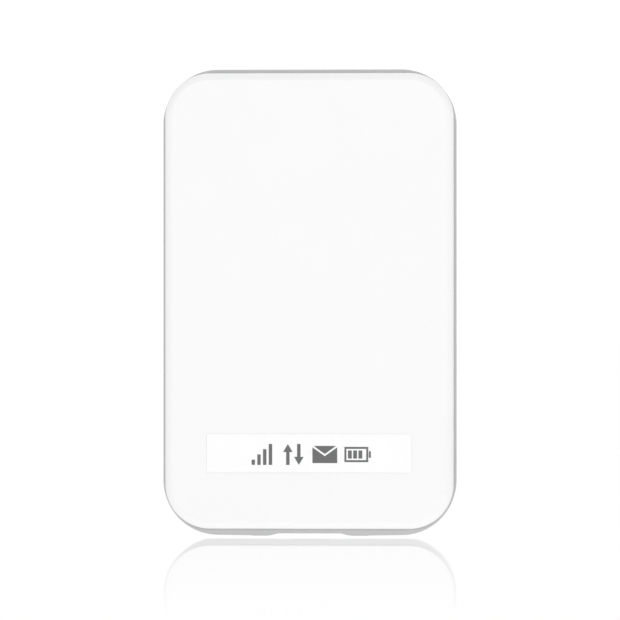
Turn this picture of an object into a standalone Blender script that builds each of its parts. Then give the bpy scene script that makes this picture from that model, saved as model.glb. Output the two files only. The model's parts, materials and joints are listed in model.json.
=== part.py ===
"""Pocket mobile hotspot: three mouldings around a circuit board and a removable battery.

Width runs along X, depth along Y with the front at -Y, and height along Z. The feet stand
on z = 0, midway across the width and the depth. Every size is in millimetres, and is turned
into metres as a mesh is finished.
"""

import math
from collections import namedtuple

import bmesh
import bpy
from mathutils import Matrix, Vector

MM = 0.001
CORNER_STEPS = 8
ROUND_STEPS = 16
SMOOTH_ANGLE = math.radians(35)

# ---- Driving dimensions -------------------------------------------------------------------

Outline = namedtuple("Outline", "half_width low high radius foot")
FRONT_EDGE = Outline(30.28, 1.56, 97.14, 9.4, 0.0)
FRAME_EDGE = Outline(30.8, 0.18, 98.0, 11.5, 1.0)
FRAME_BORE = FRAME_EDGE._replace(foot=0.0)
REAR_EDGE = Outline(30.2, 0.9, 97.3, 10.6, 0.0)

# Foot line along the bottom edge: half distance from the middle, height against the edge.
FOOT_LINE = ((12.5, -0.1), (8.2, -0.1), (6.6, 0.32))
FOOT_X, FOOT_Y, FOOT_Z = (8.6, 12.3), (-2.9, 3.0), (0.0, 0.7)

FRONT_FACE_Y, REAR_FACE_Y = -6.8, 6.8
FRONT_INSIDE_Y, REAR_INSIDE_Y = -5.6, 5.75
FRONT_SEAM_Y, REAR_SEAM_Y = (-4.5, -4.35), (4.1, 4.25)
SIDE_Y = (-3.3, 3.4)  # the flat of the frame's side, between its two rolled edges
FRONT_TONGUE = (0.75, 1.4, -3.8)  # outer inset, inner inset and depth of the cover's tongue
REAR_TONGUE = (0.9, 1.5, 3.4)
FLOOR_Y = (-1.0, -0.2)
BOARD_Y = (-3.4, -2.6)
LIFT = 0.05  # clearance of a piece that is soldered or glued onto another
FRONT_ROUND, REAR_ROUND = (1.5, 1.3), (2.4, 2.2)  # inset and depth of the rounded edges

# Screw places across and up, shared by the bosses, the board and the floor.
SCREW_SPOTS = [(side * x, z) for x, z in ((23.5, 8.0), (26.9, 49.0), (23.5, 91.2)) for side in (-1, 1)]
BOSS_RADIUS, BOSS_HOLE, SHANK_RADIUS, HEAD_RADIUS = 2.0, 0.8, 0.7, 1.3
BOSS_END_Y, HEAD_Y, SHANK_END_Y = -1.2, (-0.1, 0.6), -4.6
POCKET_ROOT_Y = -5.2  # blind end of the boss holes
POST_SPOTS = [(side * 25.5, z) for z in (30.0, 68.0) for side in (-1, 1)]
POST_RADIUS = 1.2

FILM_X, FILM_Z, FILM_DEPTH, FILM_THICK = 21.5, (13.35, 21.5), 0.25, 0.15
FILM_GAP = 0.1
LIGHT_SPOTS = [(x, 17.2) for x in (-9.9, -3.3, 3.3, 9.9)]
LIGHT_PIN_SPOTS = [(-14.4, 17.2), (14.4, 17.2)]
GUIDE_X, GUIDE_Y, GUIDE_Z = (-16.0, 16.0), (-5.5, -4.3), (14.5, 20.3)
PILLAR_RADIUS, PILLAR_HOLE, PILLAR_TOP_Y = 1.3, 1.5, -6.05
PIN_RADIUS, PIN_HOLE = 0.6, 0.8

USB_Y, USB_HALF, USB_Z, USB_WALL = (-2.55, 0.05), 3.75, (0.9, 6.3), 0.3
USB_GAP = (0.35, 0.3)  # between the socket and its opening, across and in depth
BLADE_X, BLADE_Y, BLADE_Z = (-1.9, 1.9), (-1.35, -0.75), (1.6, 5.0)
KEY_X, KEY_Y, KEY_Z, KEY_GAP = (9.5, 18.5), (-1.4, 1.0), (95.9, 97.95), 0.2
FLANGE_Y, FLANGE_Z, FLANGE_REACH = (-2.2, 1.8), (95.55, 96.15), 0.8
STEM_Y, STEM_Z = (-2.15, -1.45), (93.85, 95.8)
SWITCH_X, SWITCH_END_Y, SWITCH_Z = (11.75, 16.25), -1.15, (90.0, 93.0)
PLUNGER_Z = (92.3, 93.75)
RESET_SPOT, RESET_HALF, RESET_END_Y = (19.0, 14.0), 1.6, -1.65
RESET_PIN_Y, RESET_PIN_RADIUS = (-2.05, -1.25), 0.7
SIM_X, SIM_Z, SIM_TOP_Y, SIM_ROOF_Y = (-20.0, -4.5), (7.0, 20.9), -1.12, -1.34
SIM_WINDOW = ((-16.5, -9.5), (10.6, 17.4))
SIM_CARD_X, SIM_CARD_Y, SIM_CARD_Z = (-18.8, -3.8), (-2.2, -1.44), (8.0, 20.0)
SIM_CLIPPED = 2.2  # the keying corner of the card
CONTACTS_X = (-3.4, 0.0, 3.4)
CLIP_SPOTS = [(4.6, 91.8), (-13.0, 5.2), (13.0, 5.2)]

BATTERY_X, BATTERY_Y, CELL_Z, CAP_Z = 25.0, (0.2, 5.4), (30.2, 89.0), (27.0, 30.0)
PAD_POCKET_Y, PAD_POCKET_DEPTH = (0.8, 4.0), 0.3
BLOCK_X, BLOCK_END_Y, BLOCK_Z = (-6.0, 6.0), 3.2, (22.2, 26.2)
SPRING_BEND, SPRING_THICK, SPRING_FOOT_Z = 0.9, 0.2, 24.3
SPRING_MIDDLE_Y, SPRING_CROWN_Z = 1.7, 25.85
FOAM_X, FOAM_Z = (-15.0, 15.0), (50.0, 66.0)

# Ribs that hold the battery, and openings in the bay floor.
RIB_TOP_Y, RIB_THICK, RIB_GAP = 3.0, 0.8, 0.3
SIDE_RIBS_Z = ((31.0, 46.0), (52.0, 86.0))
END_RIB_X, END_RIB_Z = (7.2, 22.0), (25.6, 26.4)
TOP_RIB_X, TOP_RIB_Z = (-20.0, 20.0), (89.4, 90.1)
KEY_BAY = ((7.5, 20.5), (-2.6, 2.2), (93.0, 96.45))
SIM_BAY, CONTACT_BAY = ((-21.0, 12.0), (7.6, 20.6)), ((-6.4, 6.4), (21.8, 26.6))

# Hooks of the rear cover and the grooves that they run in.
HOOK_SPOTS = [(side, z) for side in (-1, 1) for z in (22.0, 62.0, 80.0)]
HOOK_HALF, TOP_HOOK_X = 2.5, -8.0
HOOK_X, HOOK_Y, TOP_HOOK_Z = (28.85, 29.5), (2.0, 3.9), (95.95, 96.6)
GROOVE_X, GROOVE_Y, TOP_GROOVE_Z, GROOVE_GAP = (28.4, 29.85), (1.7, 5.0), (95.3, 96.9), 0.3
NOTCH_X, NOTCH_Y, NOTCH_Z = (-32.0, -29.7), (4.2, 4.9), (15.0, 24.0)

# Board outline, its arm up to the power switch, and what it carries.
BOARD_X, BOARD_Z, BOARD_RADIUS = (-27.6, 27.6), (3.6, 82.0), 7.6
ARM_X, ARM_Z, BOARD_NOTCH = (2.0, 20.0), (80.0, 93.5), 2.3
CHIP_FRONT_Y, LAMP_FRONT_Y = -4.5, -4.05
CAN_X, CAN_FRONT_Y, CAN_WALL = (-24.0, 22.0), -5.2, 0.25
UPPER_CAN_Z, LOWER_CAN_Z = (51.5, 78.0), (26.0, 46.5)
PAD_X, PAD_Y, PAD_Z = (-22.0, 8.0), (-5.5, -5.3), (55.0, 73.0)

# ---- Finishes: colour, roughness, metallic ------------------------------------------------

Finish = namedtuple("Finish", "colour roughness metallic")
WHITE_GLOSS = Finish((0.90, 0.90, 0.90), 0.22, 0.0)
GREY_SATIN = Finish((0.47, 0.47, 0.48), 0.38, 0.0)
FOOT_GREY = Finish((0.44, 0.44, 0.45), 0.6, 0.0)
FILM = Finish((0.93, 0.93, 0.93), 0.18, 0.0)
CLEAR_GUIDE = Finish((0.80, 0.84, 0.86), 0.15, 0.0)
BOARD_GREEN = Finish((0.02, 0.12, 0.06), 0.45, 0.0)
CHIP_BLACK = Finish((0.02, 0.02, 0.022), 0.5, 0.0)
BLACK_PLASTIC = Finish((0.03, 0.03, 0.03), 0.5, 0.0)
TIN = Finish((0.62, 0.61, 0.59), 0.32, 1.0)
STEEL = Finish((0.50, 0.50, 0.51), 0.3, 1.0)
GOLD = Finish((0.78, 0.56, 0.24), 0.28, 1.0)
CELL_WRAP = Finish((0.78, 0.79, 0.80), 0.42, 0.0)
CARD_WHITE = Finish((0.85, 0.85, 0.86), 0.4, 0.0)
FLEX_BLACK = Finish((0.04, 0.035, 0.03), 0.35, 0.0)
SILICONE_GREY = Finish((0.30, 0.34, 0.40), 0.7, 0.0)
FOAM = Finish((0.05, 0.05, 0.055), 0.9, 0.0)
LED_YELLOW = Finish((0.85, 0.80, 0.45), 0.3, 0.0)


# ---- Shapes -------------------------------------------------------------------------------


def on_axis(axis, u, v, w):
    """The point that lies w along the axis, with u and v across it in X, Y, Z order."""
    return Vector({"X": (w, u, v), "Y": (u, w, v), "Z": (u, v, w)}[axis])


def add_loft(bm, rings):
    """A closed skin over a run of rings that have the same number of points."""
    loops = [[bm.verts.new(point) for point in ring] for ring in rings]
    for near, far in zip(loops, loops[1:]):
        for i, start in enumerate(near):
            j = (i + 1) % len(near)
            bm.faces.new((start, near[j], far[j], far[i]))
    bm.faces.new(loops[0])
    bm.faces.new(reversed(loops[-1]))


def add_block(bm, x, y, z, edge=0.0):
    """A box over the ranges x, y and z, with its edges taken off by edge."""
    corners = bmesh.ops.create_cube(bm, size=1.0)["verts"]
    for corner in corners:
        corner.co = Vector((x[corner.co.x > 0], y[corner.co.y > 0], z[corner.co.z > 0]))
    if edge:
        edges = list({link for corner in corners for link in corner.link_edges})
        bmesh.ops.bevel(bm, geom=edges, offset=edge, segments=1, affect="EDGES")


def circle(radius, steps=ROUND_STEPS):
    turns = [2 * math.pi * i / steps for i in range(steps)]
    return [(radius * math.cos(turn), radius * math.sin(turn)) for turn in turns]


def rounded(u, v, radius, steps=4):
    """The points of a rectangle over the ranges u and v with round corners."""
    points = []
    corners = ((u[1], v[0], -90), (u[1], v[1], 0), (u[0], v[1], 90), (u[0], v[0], 180))
    for corner_u, corner_v, start in corners:
        centre_u = corner_u - math.copysign(radius, corner_u - sum(u) / 2)
        centre_v = corner_v - math.copysign(radius, corner_v - sum(v) / 2)
        for step in range(steps + 1):
            turn = math.radians(start + 90 * step / steps)
            points.append((centre_u + radius * math.cos(turn), centre_v + radius * math.sin(turn)))
    return points


def on_side(side, span):
    """A range across the width, or its mirror image for side -1."""
    return tuple(sorted((side * span[0], side * span[1])))


def cross_points(reach, half):
    """A plus sign with arms of this reach and half width."""
    arm = ((reach, -half), (reach, half), (half, half))
    turned = []
    for _ in range(4):
        turned += arm
        arm = tuple((-v, u) for u, v in arm)
    return turned


def add_prism(bm, axis, points, along):
    """A flat outline carried along an axis over a range."""
    add_loft(bm, [[on_axis(axis, u, v, w) for u, v in points] for w in along])


def add_rods(bm, spots, radius, y, steps=ROUND_STEPS):
    """Round rods along Y over the range y, one at each spot across and up."""
    for x, z in spots:
        add_prism(bm, "Y", [(x + u, z + v) for u, v in circle(radius, steps)], y)


def blend(first, second, share):
    return Outline(*(a + (b - a) * share for a, b in zip(first, second)))


def case_ring(outline, inset, y):
    """One ring of the case: a round-cornered upright whose bottom edge carries the foot line."""
    half, radius = outline.half_width - inset, outline.radius - inset
    low, high = outline.low + inset, outline.high - inset
    ring = []
    corners = ((1, low + radius, -90), (1, high - radius, 0), (-1, high - radius, 90), (-1, low + radius, 180))
    for side, centre_z, start in corners:
        for step in range(CORNER_STEPS + 1):
            turn = math.radians(start + 90 * step / CORNER_STEPS)
            x = side * (half - radius) + radius * math.cos(turn)
            ring.append(Vector((x, y, centre_z + radius * math.sin(turn))))
    for x, rise in FOOT_LINE:
        ring.append(Vector((-x, y, low + outline.foot * rise)))
    for x, rise in reversed(FOOT_LINE):
        ring.append(Vector((x, y, low + outline.foot * rise)))
    return ring


def quarter(steps):
    """The sine and cosine of even steps through a quarter turn, both ends included."""
    turns = [math.radians(90 * step / steps) for step in range(steps + 1)]
    return [(math.sin(turn), math.cos(turn)) for turn in turns]


# ---- Objects ------------------------------------------------------------------------------


def clear_scene():
    for old in list(bpy.data.objects):
        bpy.data.objects.remove(old, do_unlink=True)


def new_collection(name):
    collection = bpy.data.collections.new(name)
    bpy.context.scene.collection.children.link(collection)
    return collection


def new_empty(name, origin=(0.0, 0.0, 0.0), parent=None):
    """An empty that marks a moving group's place on its axis of travel."""
    empty = bpy.data.objects.new(name, None)
    empty.empty_display_size = 5 * MM
    PARTS.objects.link(empty)
    empty.parent = parent
    empty.location = Vector(origin) * MM
    return empty


def mesh_from(name, bm, origin):
    bmesh.ops.recalc_face_normals(bm, faces=bm.faces[:])
    bm.transform(Matrix.Scale(MM, 4) @ Matrix.Translation(-origin))
    mesh = bpy.data.meshes.new(name)
    bm.to_mesh(mesh)
    bm.free()
    mesh.shade_smooth()
    mesh.set_sharp_from_angle(angle=SMOOTH_ANGLE)
    return mesh


def new_part(name, bm, finish, group=None):
    """A piece of the device, with its origin at its group's empty and a material of its own."""
    group = group or DEVICE
    origin = group.location / MM
    part = bpy.data.objects.new(name, mesh_from(name, bm, origin))
    PARTS.objects.link(part)
    part.parent = group
    skin = bpy.data.materials.new(name)
    skin.use_nodes = True
    shader = skin.node_tree.nodes["Principled BSDF"]
    shader.inputs["Base Color"].default_value = (*finish.colour, 1.0)
    shader.inputs["Roughness"].default_value = finish.roughness
    shader.inputs["Metallic"].default_value = finish.metallic
    part.data.materials.append(skin)
    return part


def shape_with(part, operation, name, bm):
    """Joins the solids in bm to the part, or cuts them out of it."""
    helper = bpy.data.objects.new(name, mesh_from(name, bm, Vector()))
    CUTTERS.objects.link(helper)
    helper.hide_render = True
    helper.display_type = "WIRE"
    step = part.modifiers.new(name, "BOOLEAN")
    step.operation = operation
    step.solver = "EXACT"
    step.object = helper


# ---- Casing -------------------------------------------------------------------------------


def make_front_cover():
    """A shallow tray with a tongue that enters the frame, and the bosses for the screws."""
    inset, depth = FRONT_ROUND
    rings = [
        case_ring(FRONT_EDGE, inset * (1 - sine), FRONT_FACE_Y + depth * (1 - cosine))
        for sine, cosine in quarter(5)
    ]
    tongue_out, tongue_in, tongue_y = FRONT_TONGUE
    rings += [
        case_ring(FRONT_EDGE, 0.0, FRONT_SEAM_Y[0]),
        case_ring(FRONT_EDGE, tongue_out, FRONT_SEAM_Y[0]),
        case_ring(FRONT_EDGE, tongue_out, tongue_y),
        case_ring(FRONT_EDGE, tongue_in, tongue_y),
        case_ring(FRONT_EDGE, tongue_in, FRONT_INSIDE_Y),
    ]
    bm = bmesh.new()
    add_loft(bm, rings)
    cover = new_part("front_cover", bm, WHITE_GLOSS)

    root_y = FRONT_INSIDE_Y - 0.4
    posts = bmesh.new()
    add_rods(posts, SCREW_SPOTS, BOSS_RADIUS, (root_y, BOSS_END_Y))
    add_rods(posts, POST_SPOTS, POST_RADIUS, (root_y, BOARD_Y[0] - LIFT), 12)
    add_rods(posts, LIGHT_PIN_SPOTS, PIN_RADIUS, (root_y, GUIDE_Y[1] + 0.1), 10)
    shape_with(cover, "UNION", "front_cover_posts", posts)

    holes = bmesh.new()
    add_rods(holes, SCREW_SPOTS, BOSS_HOLE, (POCKET_ROOT_Y, BOSS_END_Y + 0.5), 12)
    add_rods(holes, LIGHT_SPOTS, PILLAR_HOLE, (PILLAR_TOP_Y - LIFT, FRONT_INSIDE_Y + 0.5), 12)
    film_x, film_z = (-FILM_X - FILM_GAP, FILM_X + FILM_GAP), (FILM_Z[0] - FILM_GAP, FILM_Z[1] + FILM_GAP)
    film = rounded(film_x, film_z, 0.5)
    add_prism(holes, "Y", film, (FRONT_FACE_Y - 1.0, FRONT_FACE_Y + FILM_DEPTH))
    shape_with(cover, "DIFFERENCE", "front_cover_holes", holes)


def make_mid_frame():
    """The grey ring with the bay floor across its middle."""
    swell = [
        (blend(FRONT_EDGE, FRAME_EDGE, sine), SIDE_Y[0] + (FRONT_SEAM_Y[1] - SIDE_Y[0]) * cosine)
        for sine, cosine in quarter(3)
    ]
    shrink = [
        (blend(REAR_EDGE, FRAME_EDGE, sine), SIDE_Y[1] + (REAR_SEAM_Y[0] - SIDE_Y[1]) * cosine)
        for sine, cosine in reversed(quarter(3))
    ]
    front_bore, rebate, rear_lip, wall = 0.95, 0.55, 0.7, 1.6
    rebate_y, lip_y = FRONT_TONGUE[2] + 0.2, REAR_TONGUE[2] - 0.2
    rings = [
        case_ring(FRONT_EDGE, front_bore, FLOOR_Y[0]),
        case_ring(FRONT_EDGE, front_bore, rebate_y),
        case_ring(FRONT_EDGE, rebate, rebate_y),
        case_ring(FRONT_EDGE, rebate, FRONT_SEAM_Y[1]),
    ]
    rings += [case_ring(outline, 0.0, y) for outline, y in swell + shrink]
    rings += [
        case_ring(REAR_EDGE, rear_lip, REAR_SEAM_Y[0]),
        case_ring(REAR_EDGE, rear_lip, lip_y),
        case_ring(FRAME_BORE, wall, lip_y),
        case_ring(FRAME_BORE, wall, FLOOR_Y[1]),
    ]
    bm = bmesh.new()
    add_loft(bm, rings)
    frame = new_part("mid_frame", bm, GREY_SATIN)

    ribs = bmesh.new()
    rib_y = (FLOOR_Y[1] - 0.4, RIB_TOP_Y)
    rib_x = (BATTERY_X + RIB_GAP, BATTERY_X + RIB_GAP + RIB_THICK)
    for side in (-1, 1):
        for rib_z in SIDE_RIBS_Z:
            add_block(ribs, on_side(side, rib_x), rib_y, rib_z)
        add_block(ribs, on_side(side, END_RIB_X), rib_y, END_RIB_Z)
    add_block(ribs, TOP_RIB_X, rib_y, TOP_RIB_Z)
    add_rods(ribs, POST_SPOTS, POST_RADIUS, (BOARD_Y[1] + LIFT, FLOOR_Y[0] + 0.4), 12)
    shape_with(frame, "UNION", "mid_frame_ribs", ribs)

    holes = bmesh.new()
    socket_x = (-USB_HALF - USB_GAP[0], USB_HALF + USB_GAP[0])
    socket_y = (USB_Y[0] - USB_GAP[1], USB_Y[1] + USB_GAP[1])
    add_prism(holes, "Z", rounded(socket_x, socket_y, 0.9), (-1.0, USB_Z[1] + 0.4))
    key_x, key_y = (KEY_X[0] - KEY_GAP, KEY_X[1] + KEY_GAP), (KEY_Y[0] - KEY_GAP, KEY_Y[1] + KEY_GAP)
    add_prism(holes, "Z", rounded(key_x, key_y, 1.0), (KEY_BAY[2][1] - 0.15, FRAME_EDGE.high + 1.0))
    shape_with(frame, "DIFFERENCE", "mid_frame_openings", holes)

    cuts = bmesh.new()
    floor = (FLOOR_Y[0] - 0.5, FLOOR_Y[1] + 0.5)
    foot_gap = 0.1
    foot_x, foot_y = (FOOT_X[0] - foot_gap, FOOT_X[1] + foot_gap), (FOOT_Y[0] - foot_gap, FOOT_Y[1] + foot_gap)
    for side in (-1, 1):
        add_block(cuts, on_side(side, foot_x), foot_y, (-1.0, FOOT_Z[1] + LIFT))
    add_block(cuts, *KEY_BAY)
    for bay_x, bay_z in (SIM_BAY, CONTACT_BAY):
        add_block(cuts, bay_x, floor, bay_z)
    for x, z in CLIP_SPOTS:
        add_block(cuts, (x - 1.2, x + 1.2), floor, (z - 0.8, z + 0.8))
    add_rods(cuts, SCREW_SPOTS, 0.9, floor, 12)
    add_rods(cuts, [RESET_SPOT], 1.0, floor, 12)
    reach = HOOK_HALF + GROOVE_GAP
    for side, z in HOOK_SPOTS:
        add_block(cuts, on_side(side, GROOVE_X), GROOVE_Y, (z - reach, z + reach))
    add_block(cuts, (TOP_HOOK_X - reach, TOP_HOOK_X + reach), GROOVE_Y, TOP_GROOVE_Z)
    shape_with(frame, "DIFFERENCE", "mid_frame_cuts", cuts)


def make_rear_cover(group):
    """The lift-off back, with a tongue and seven hooks that run in grooves of the frame."""
    inset, depth = REAR_ROUND
    tongue_out, tongue_in, tongue_y = REAR_TONGUE
    rings = [
        case_ring(REAR_EDGE, inset * (1 - sine), REAR_FACE_Y - depth * (1 - cosine))
        for sine, cosine in quarter(6)
    ]
    rings += [
        case_ring(REAR_EDGE, 0.0, REAR_SEAM_Y[1]),
        case_ring(REAR_EDGE, tongue_out, REAR_SEAM_Y[1]),
        case_ring(REAR_EDGE, tongue_out, tongue_y),
        case_ring(REAR_EDGE, tongue_in, tongue_y),
        case_ring(REAR_EDGE, tongue_in, REAR_INSIDE_Y),
    ]
    bm = bmesh.new()
    add_loft(bm, rings)
    cover = new_part("rear_cover", bm, WHITE_GLOSS, group)

    hooks = bmesh.new()
    for side, z in HOOK_SPOTS:
        add_block(hooks, on_side(side, HOOK_X), HOOK_Y, (z - HOOK_HALF, z + HOOK_HALF), 0.1)
    add_block(hooks, (TOP_HOOK_X - HOOK_HALF, TOP_HOOK_X + HOOK_HALF), HOOK_Y, TOP_HOOK_Z, 0.1)
    shape_with(cover, "UNION", "rear_cover_hooks", hooks)

    notch = bmesh.new()
    add_block(notch, NOTCH_X, NOTCH_Y, NOTCH_Z)
    shape_with(cover, "DIFFERENCE", "rear_cover_notch", notch)


def make_indicator_film():
    bm = bmesh.new()
    outline = rounded((-FILM_X, FILM_X), FILM_Z, 0.4)
    add_prism(bm, "Y", outline, (FRONT_FACE_Y, FRONT_FACE_Y + FILM_THICK))
    new_part("indicator_film", bm, FILM)


def make_feet():
    """Two soft pads that stand a little proud of the bottom edge, either side of the recess."""
    for side, name in ((-1, "foot_pad_left"), (1, "foot_pad_right")):
        bm = bmesh.new()
        add_block(bm, on_side(side, FOOT_X), FOOT_Y, FOOT_Z)
        new_part(name, bm, FOOT_GREY)


def make_light_guide():
    """A clear bar on the front cover's two pins, with a pillar up to the film for each lamp."""
    bm = bmesh.new()
    add_prism(bm, "Y", rounded(GUIDE_X, GUIDE_Z, 1.0), GUIDE_Y)
    guide = new_part("light_guide", bm, CLEAR_GUIDE)
    pillars = bmesh.new()
    add_rods(pillars, LIGHT_SPOTS, PILLAR_RADIUS, (PILLAR_TOP_Y, GUIDE_Y[0] + 0.5), 12)
    shape_with(guide, "UNION", "light_guide_pillars", pillars)
    holes = bmesh.new()
    add_rods(holes, LIGHT_PIN_SPOTS, PIN_HOLE, (GUIDE_Y[0] - 0.5, GUIDE_Y[1] + 0.3), 10)
    shape_with(guide, "DIFFERENCE", "light_guide_holes", holes)


def make_screws():
    for number, spot in enumerate(SCREW_SPOTS, 1):
        bm = bmesh.new()
        profile = ((SHANK_RADIUS, SHANK_END_Y), (SHANK_RADIUS, HEAD_Y[0]), (HEAD_RADIUS, HEAD_Y[0]))
        profile += ((HEAD_RADIUS, HEAD_Y[1] - 0.2), (HEAD_RADIUS - 0.25, HEAD_Y[1]))
        x, z = spot
        add_loft(bm, [[Vector((x + u, y, z + v)) for u, v in circle(radius, 12)] for radius, y in profile])
        screw = new_part(f"case_screw_{number}", bm, STEEL)
        recess = bmesh.new()
        cross = [(x + u, z + v) for u, v in cross_points(0.75, 0.15)]
        add_prism(recess, "Y", cross, (HEAD_Y[1] - 0.35, HEAD_Y[1] + 0.4))
        shape_with(screw, "DIFFERENCE", f"case_screw_{number}_recess", recess)


# ---- Keys and sockets ---------------------------------------------------------------------


def make_power_key(group):
    """The key in the top edge with its flange and stem, and the switch that it presses."""
    middle = sum(KEY_X) / 2
    key = bmesh.new()
    add_prism(key, "Z", rounded(KEY_X, KEY_Y, 0.8), KEY_Z)
    button = new_part("power_button", key, GREY_SATIN, group)
    flange = bmesh.new()
    add_block(flange, (KEY_X[0] - FLANGE_REACH, KEY_X[1] + FLANGE_REACH), FLANGE_Y, FLANGE_Z)
    shape_with(button, "UNION", "power_button_flange", flange)
    stem = bmesh.new()
    add_block(stem, (middle - 1.0, middle + 1.0), STEM_Y, STEM_Z)
    shape_with(button, "UNION", "power_button_stem", stem)

    body = bmesh.new()
    add_block(body, SWITCH_X, (BOARD_Y[1] + LIFT, SWITCH_END_Y), SWITCH_Z, 0.1)
    switch = new_part("power_switch_body", body, BLACK_PLASTIC)
    pocket = bmesh.new()
    pocket_y, pocket_z = (STEM_Y[0] - 0.1, STEM_Y[1] + 0.1), (PLUNGER_Z[0] - 0.4, SWITCH_Z[1] + 0.5)
    add_block(pocket, (middle - 0.9, middle + 0.9), pocket_y, pocket_z)
    shape_with(switch, "DIFFERENCE", "power_switch_pocket", pocket)
    plunger = bmesh.new()
    add_block(plunger, (middle - 0.8, middle + 0.8), STEM_Y, PLUNGER_Z, 0.08)
    new_part("power_switch_plunger", plunger, CARD_WHITE, group)


def make_reset(group):
    x, z = RESET_SPOT
    body_x, body_z = (x - RESET_HALF, x + RESET_HALF), (z - RESET_HALF, z + RESET_HALF)
    body = bmesh.new()
    add_block(body, body_x, (BOARD_Y[1] + LIFT, RESET_END_Y), body_z, 0.1)
    switch = new_part("reset_switch_body", body, TIN)
    pocket = bmesh.new()
    add_rods(pocket, [RESET_SPOT], RESET_PIN_RADIUS + 0.1, (RESET_PIN_Y[0] - 0.25, RESET_PIN_Y[1] + 0.05), 12)
    shape_with(switch, "DIFFERENCE", "reset_switch_pocket", pocket)
    plunger = bmesh.new()
    add_rods(plunger, [RESET_SPOT], RESET_PIN_RADIUS, RESET_PIN_Y, 12)
    new_part("reset_plunger", plunger, CARD_WHITE, group)


def make_usb():
    """A micro-B receptacle: a shell open at the bottom, and the tongue inside it."""
    bm = bmesh.new()
    add_prism(bm, "Z", rounded((-USB_HALF, USB_HALF), USB_Y, 0.6), USB_Z)
    shell = new_part("usb_shell", bm, STEEL)
    inside_x = (-USB_HALF + USB_WALL, USB_HALF - USB_WALL)
    inside_y = (USB_Y[0] + USB_WALL, USB_Y[1] - USB_WALL)
    hollow = bmesh.new()
    add_prism(hollow, "Z", rounded(inside_x, inside_y, 0.4), (USB_Z[0] - 1.0, USB_Z[1] - USB_WALL))
    shape_with(shell, "DIFFERENCE", "usb_shell_hollow", hollow)
    tongue = bmesh.new()
    base_z = (BLADE_Z[1] - 0.4, USB_Z[1] - USB_WALL - LIFT)
    base_x = (inside_x[0] + LIFT, inside_x[1] - LIFT)
    add_block(tongue, base_x, (inside_y[0] + LIFT, inside_y[1] - LIFT), base_z, 0.3)
    base = new_part("usb_tongue", tongue, BLACK_PLASTIC)
    blade = bmesh.new()
    add_block(blade, BLADE_X, BLADE_Y, BLADE_Z)
    shape_with(base, "UNION", "usb_tongue_blade", blade)


def make_sim_holder(group):
    """A plastic base, a metal cage around it, and the card that slides out to +X."""
    base = bmesh.new()
    base_z = (SIM_Z[0] + 0.6, SIM_Z[1] - 0.6)
    add_block(base, (SIM_X[0] + 0.2, SIM_X[1] - 0.2), (BOARD_Y[1] + LIFT, -2.3), base_z)
    holder = new_part("sim_base", base, BLACK_PLASTIC)
    stop = bmesh.new()
    add_block(stop, (SIM_X[0] + 0.2, SIM_X[0] + 0.9), (-2.5, -1.45), base_z)
    shape_with(holder, "UNION", "sim_base_stop", stop)

    cage = bmesh.new()
    add_block(cage, SIM_X, (BOARD_Y[1] + LIFT, SIM_TOP_Y), SIM_Z)
    shell = new_part("sim_shell", cage, TIN)
    hollow = bmesh.new()
    hollow_x, hollow_z = (SIM_X[0] - 1.0, SIM_X[1] + 1.0), (SIM_Z[0] + 0.4, SIM_Z[1] - 0.4)
    add_block(hollow, hollow_x, (BOARD_Y[1] - 0.4, SIM_ROOF_Y), hollow_z)
    shape_with(shell, "DIFFERENCE", "sim_shell_hollow", hollow)
    window = bmesh.new()
    add_prism(window, "Y", rounded(*SIM_WINDOW, 0.8), (SIM_ROOF_Y - 0.3, SIM_TOP_Y + 0.6))
    shape_with(shell, "DIFFERENCE", "sim_shell_window", window)

    (low_x, high_x), (low_z, high_z) = SIM_CARD_X, SIM_CARD_Z
    corners = ((low_x, low_z), (high_x - SIM_CLIPPED, low_z), (high_x, low_z + SIM_CLIPPED))
    corners += ((high_x, high_z), (low_x, high_z))
    card = bmesh.new()
    add_prism(card, "Y", corners, SIM_CARD_Y)
    new_part("sim_card", card, CARD_WHITE, group)


# ---- Board --------------------------------------------------------------------------------


def make_main_board():
    bm = bmesh.new()
    add_prism(bm, "Y", rounded(BOARD_X, BOARD_Z, BOARD_RADIUS), BOARD_Y)
    board = new_part("main_board", bm, BOARD_GREEN)
    arm = bmesh.new()
    add_block(arm, ARM_X, BOARD_Y, ARM_Z)
    shape_with(board, "UNION", "main_board_arm", arm)
    notches = bmesh.new()
    add_rods(notches, SCREW_SPOTS, BOARD_NOTCH, (BOARD_Y[0] - 1.0, BOARD_Y[1] + 1.0))
    shape_with(board, "DIFFERENCE", "main_board_notches", notches)


def make_shield(name, z):
    """A screening can: a shallow box that is open towards the board."""
    x, wall, y = CAN_X, CAN_WALL, (CAN_FRONT_Y, BOARD_Y[0] - LIFT)
    bm = bmesh.new()
    add_prism(bm, "Y", rounded(x, z, 0.8, 3), y)
    can = new_part(name, bm, TIN)
    inside = bmesh.new()
    inside_x, inside_z = (x[0] + wall, x[1] - wall), (z[0] + wall, z[1] - wall)
    add_prism(inside, "Y", rounded(inside_x, inside_z, 0.6, 3), (y[0] + wall, y[1] + 1.0))
    shape_with(can, "DIFFERENCE", f"{name}_inside", inside)


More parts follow.
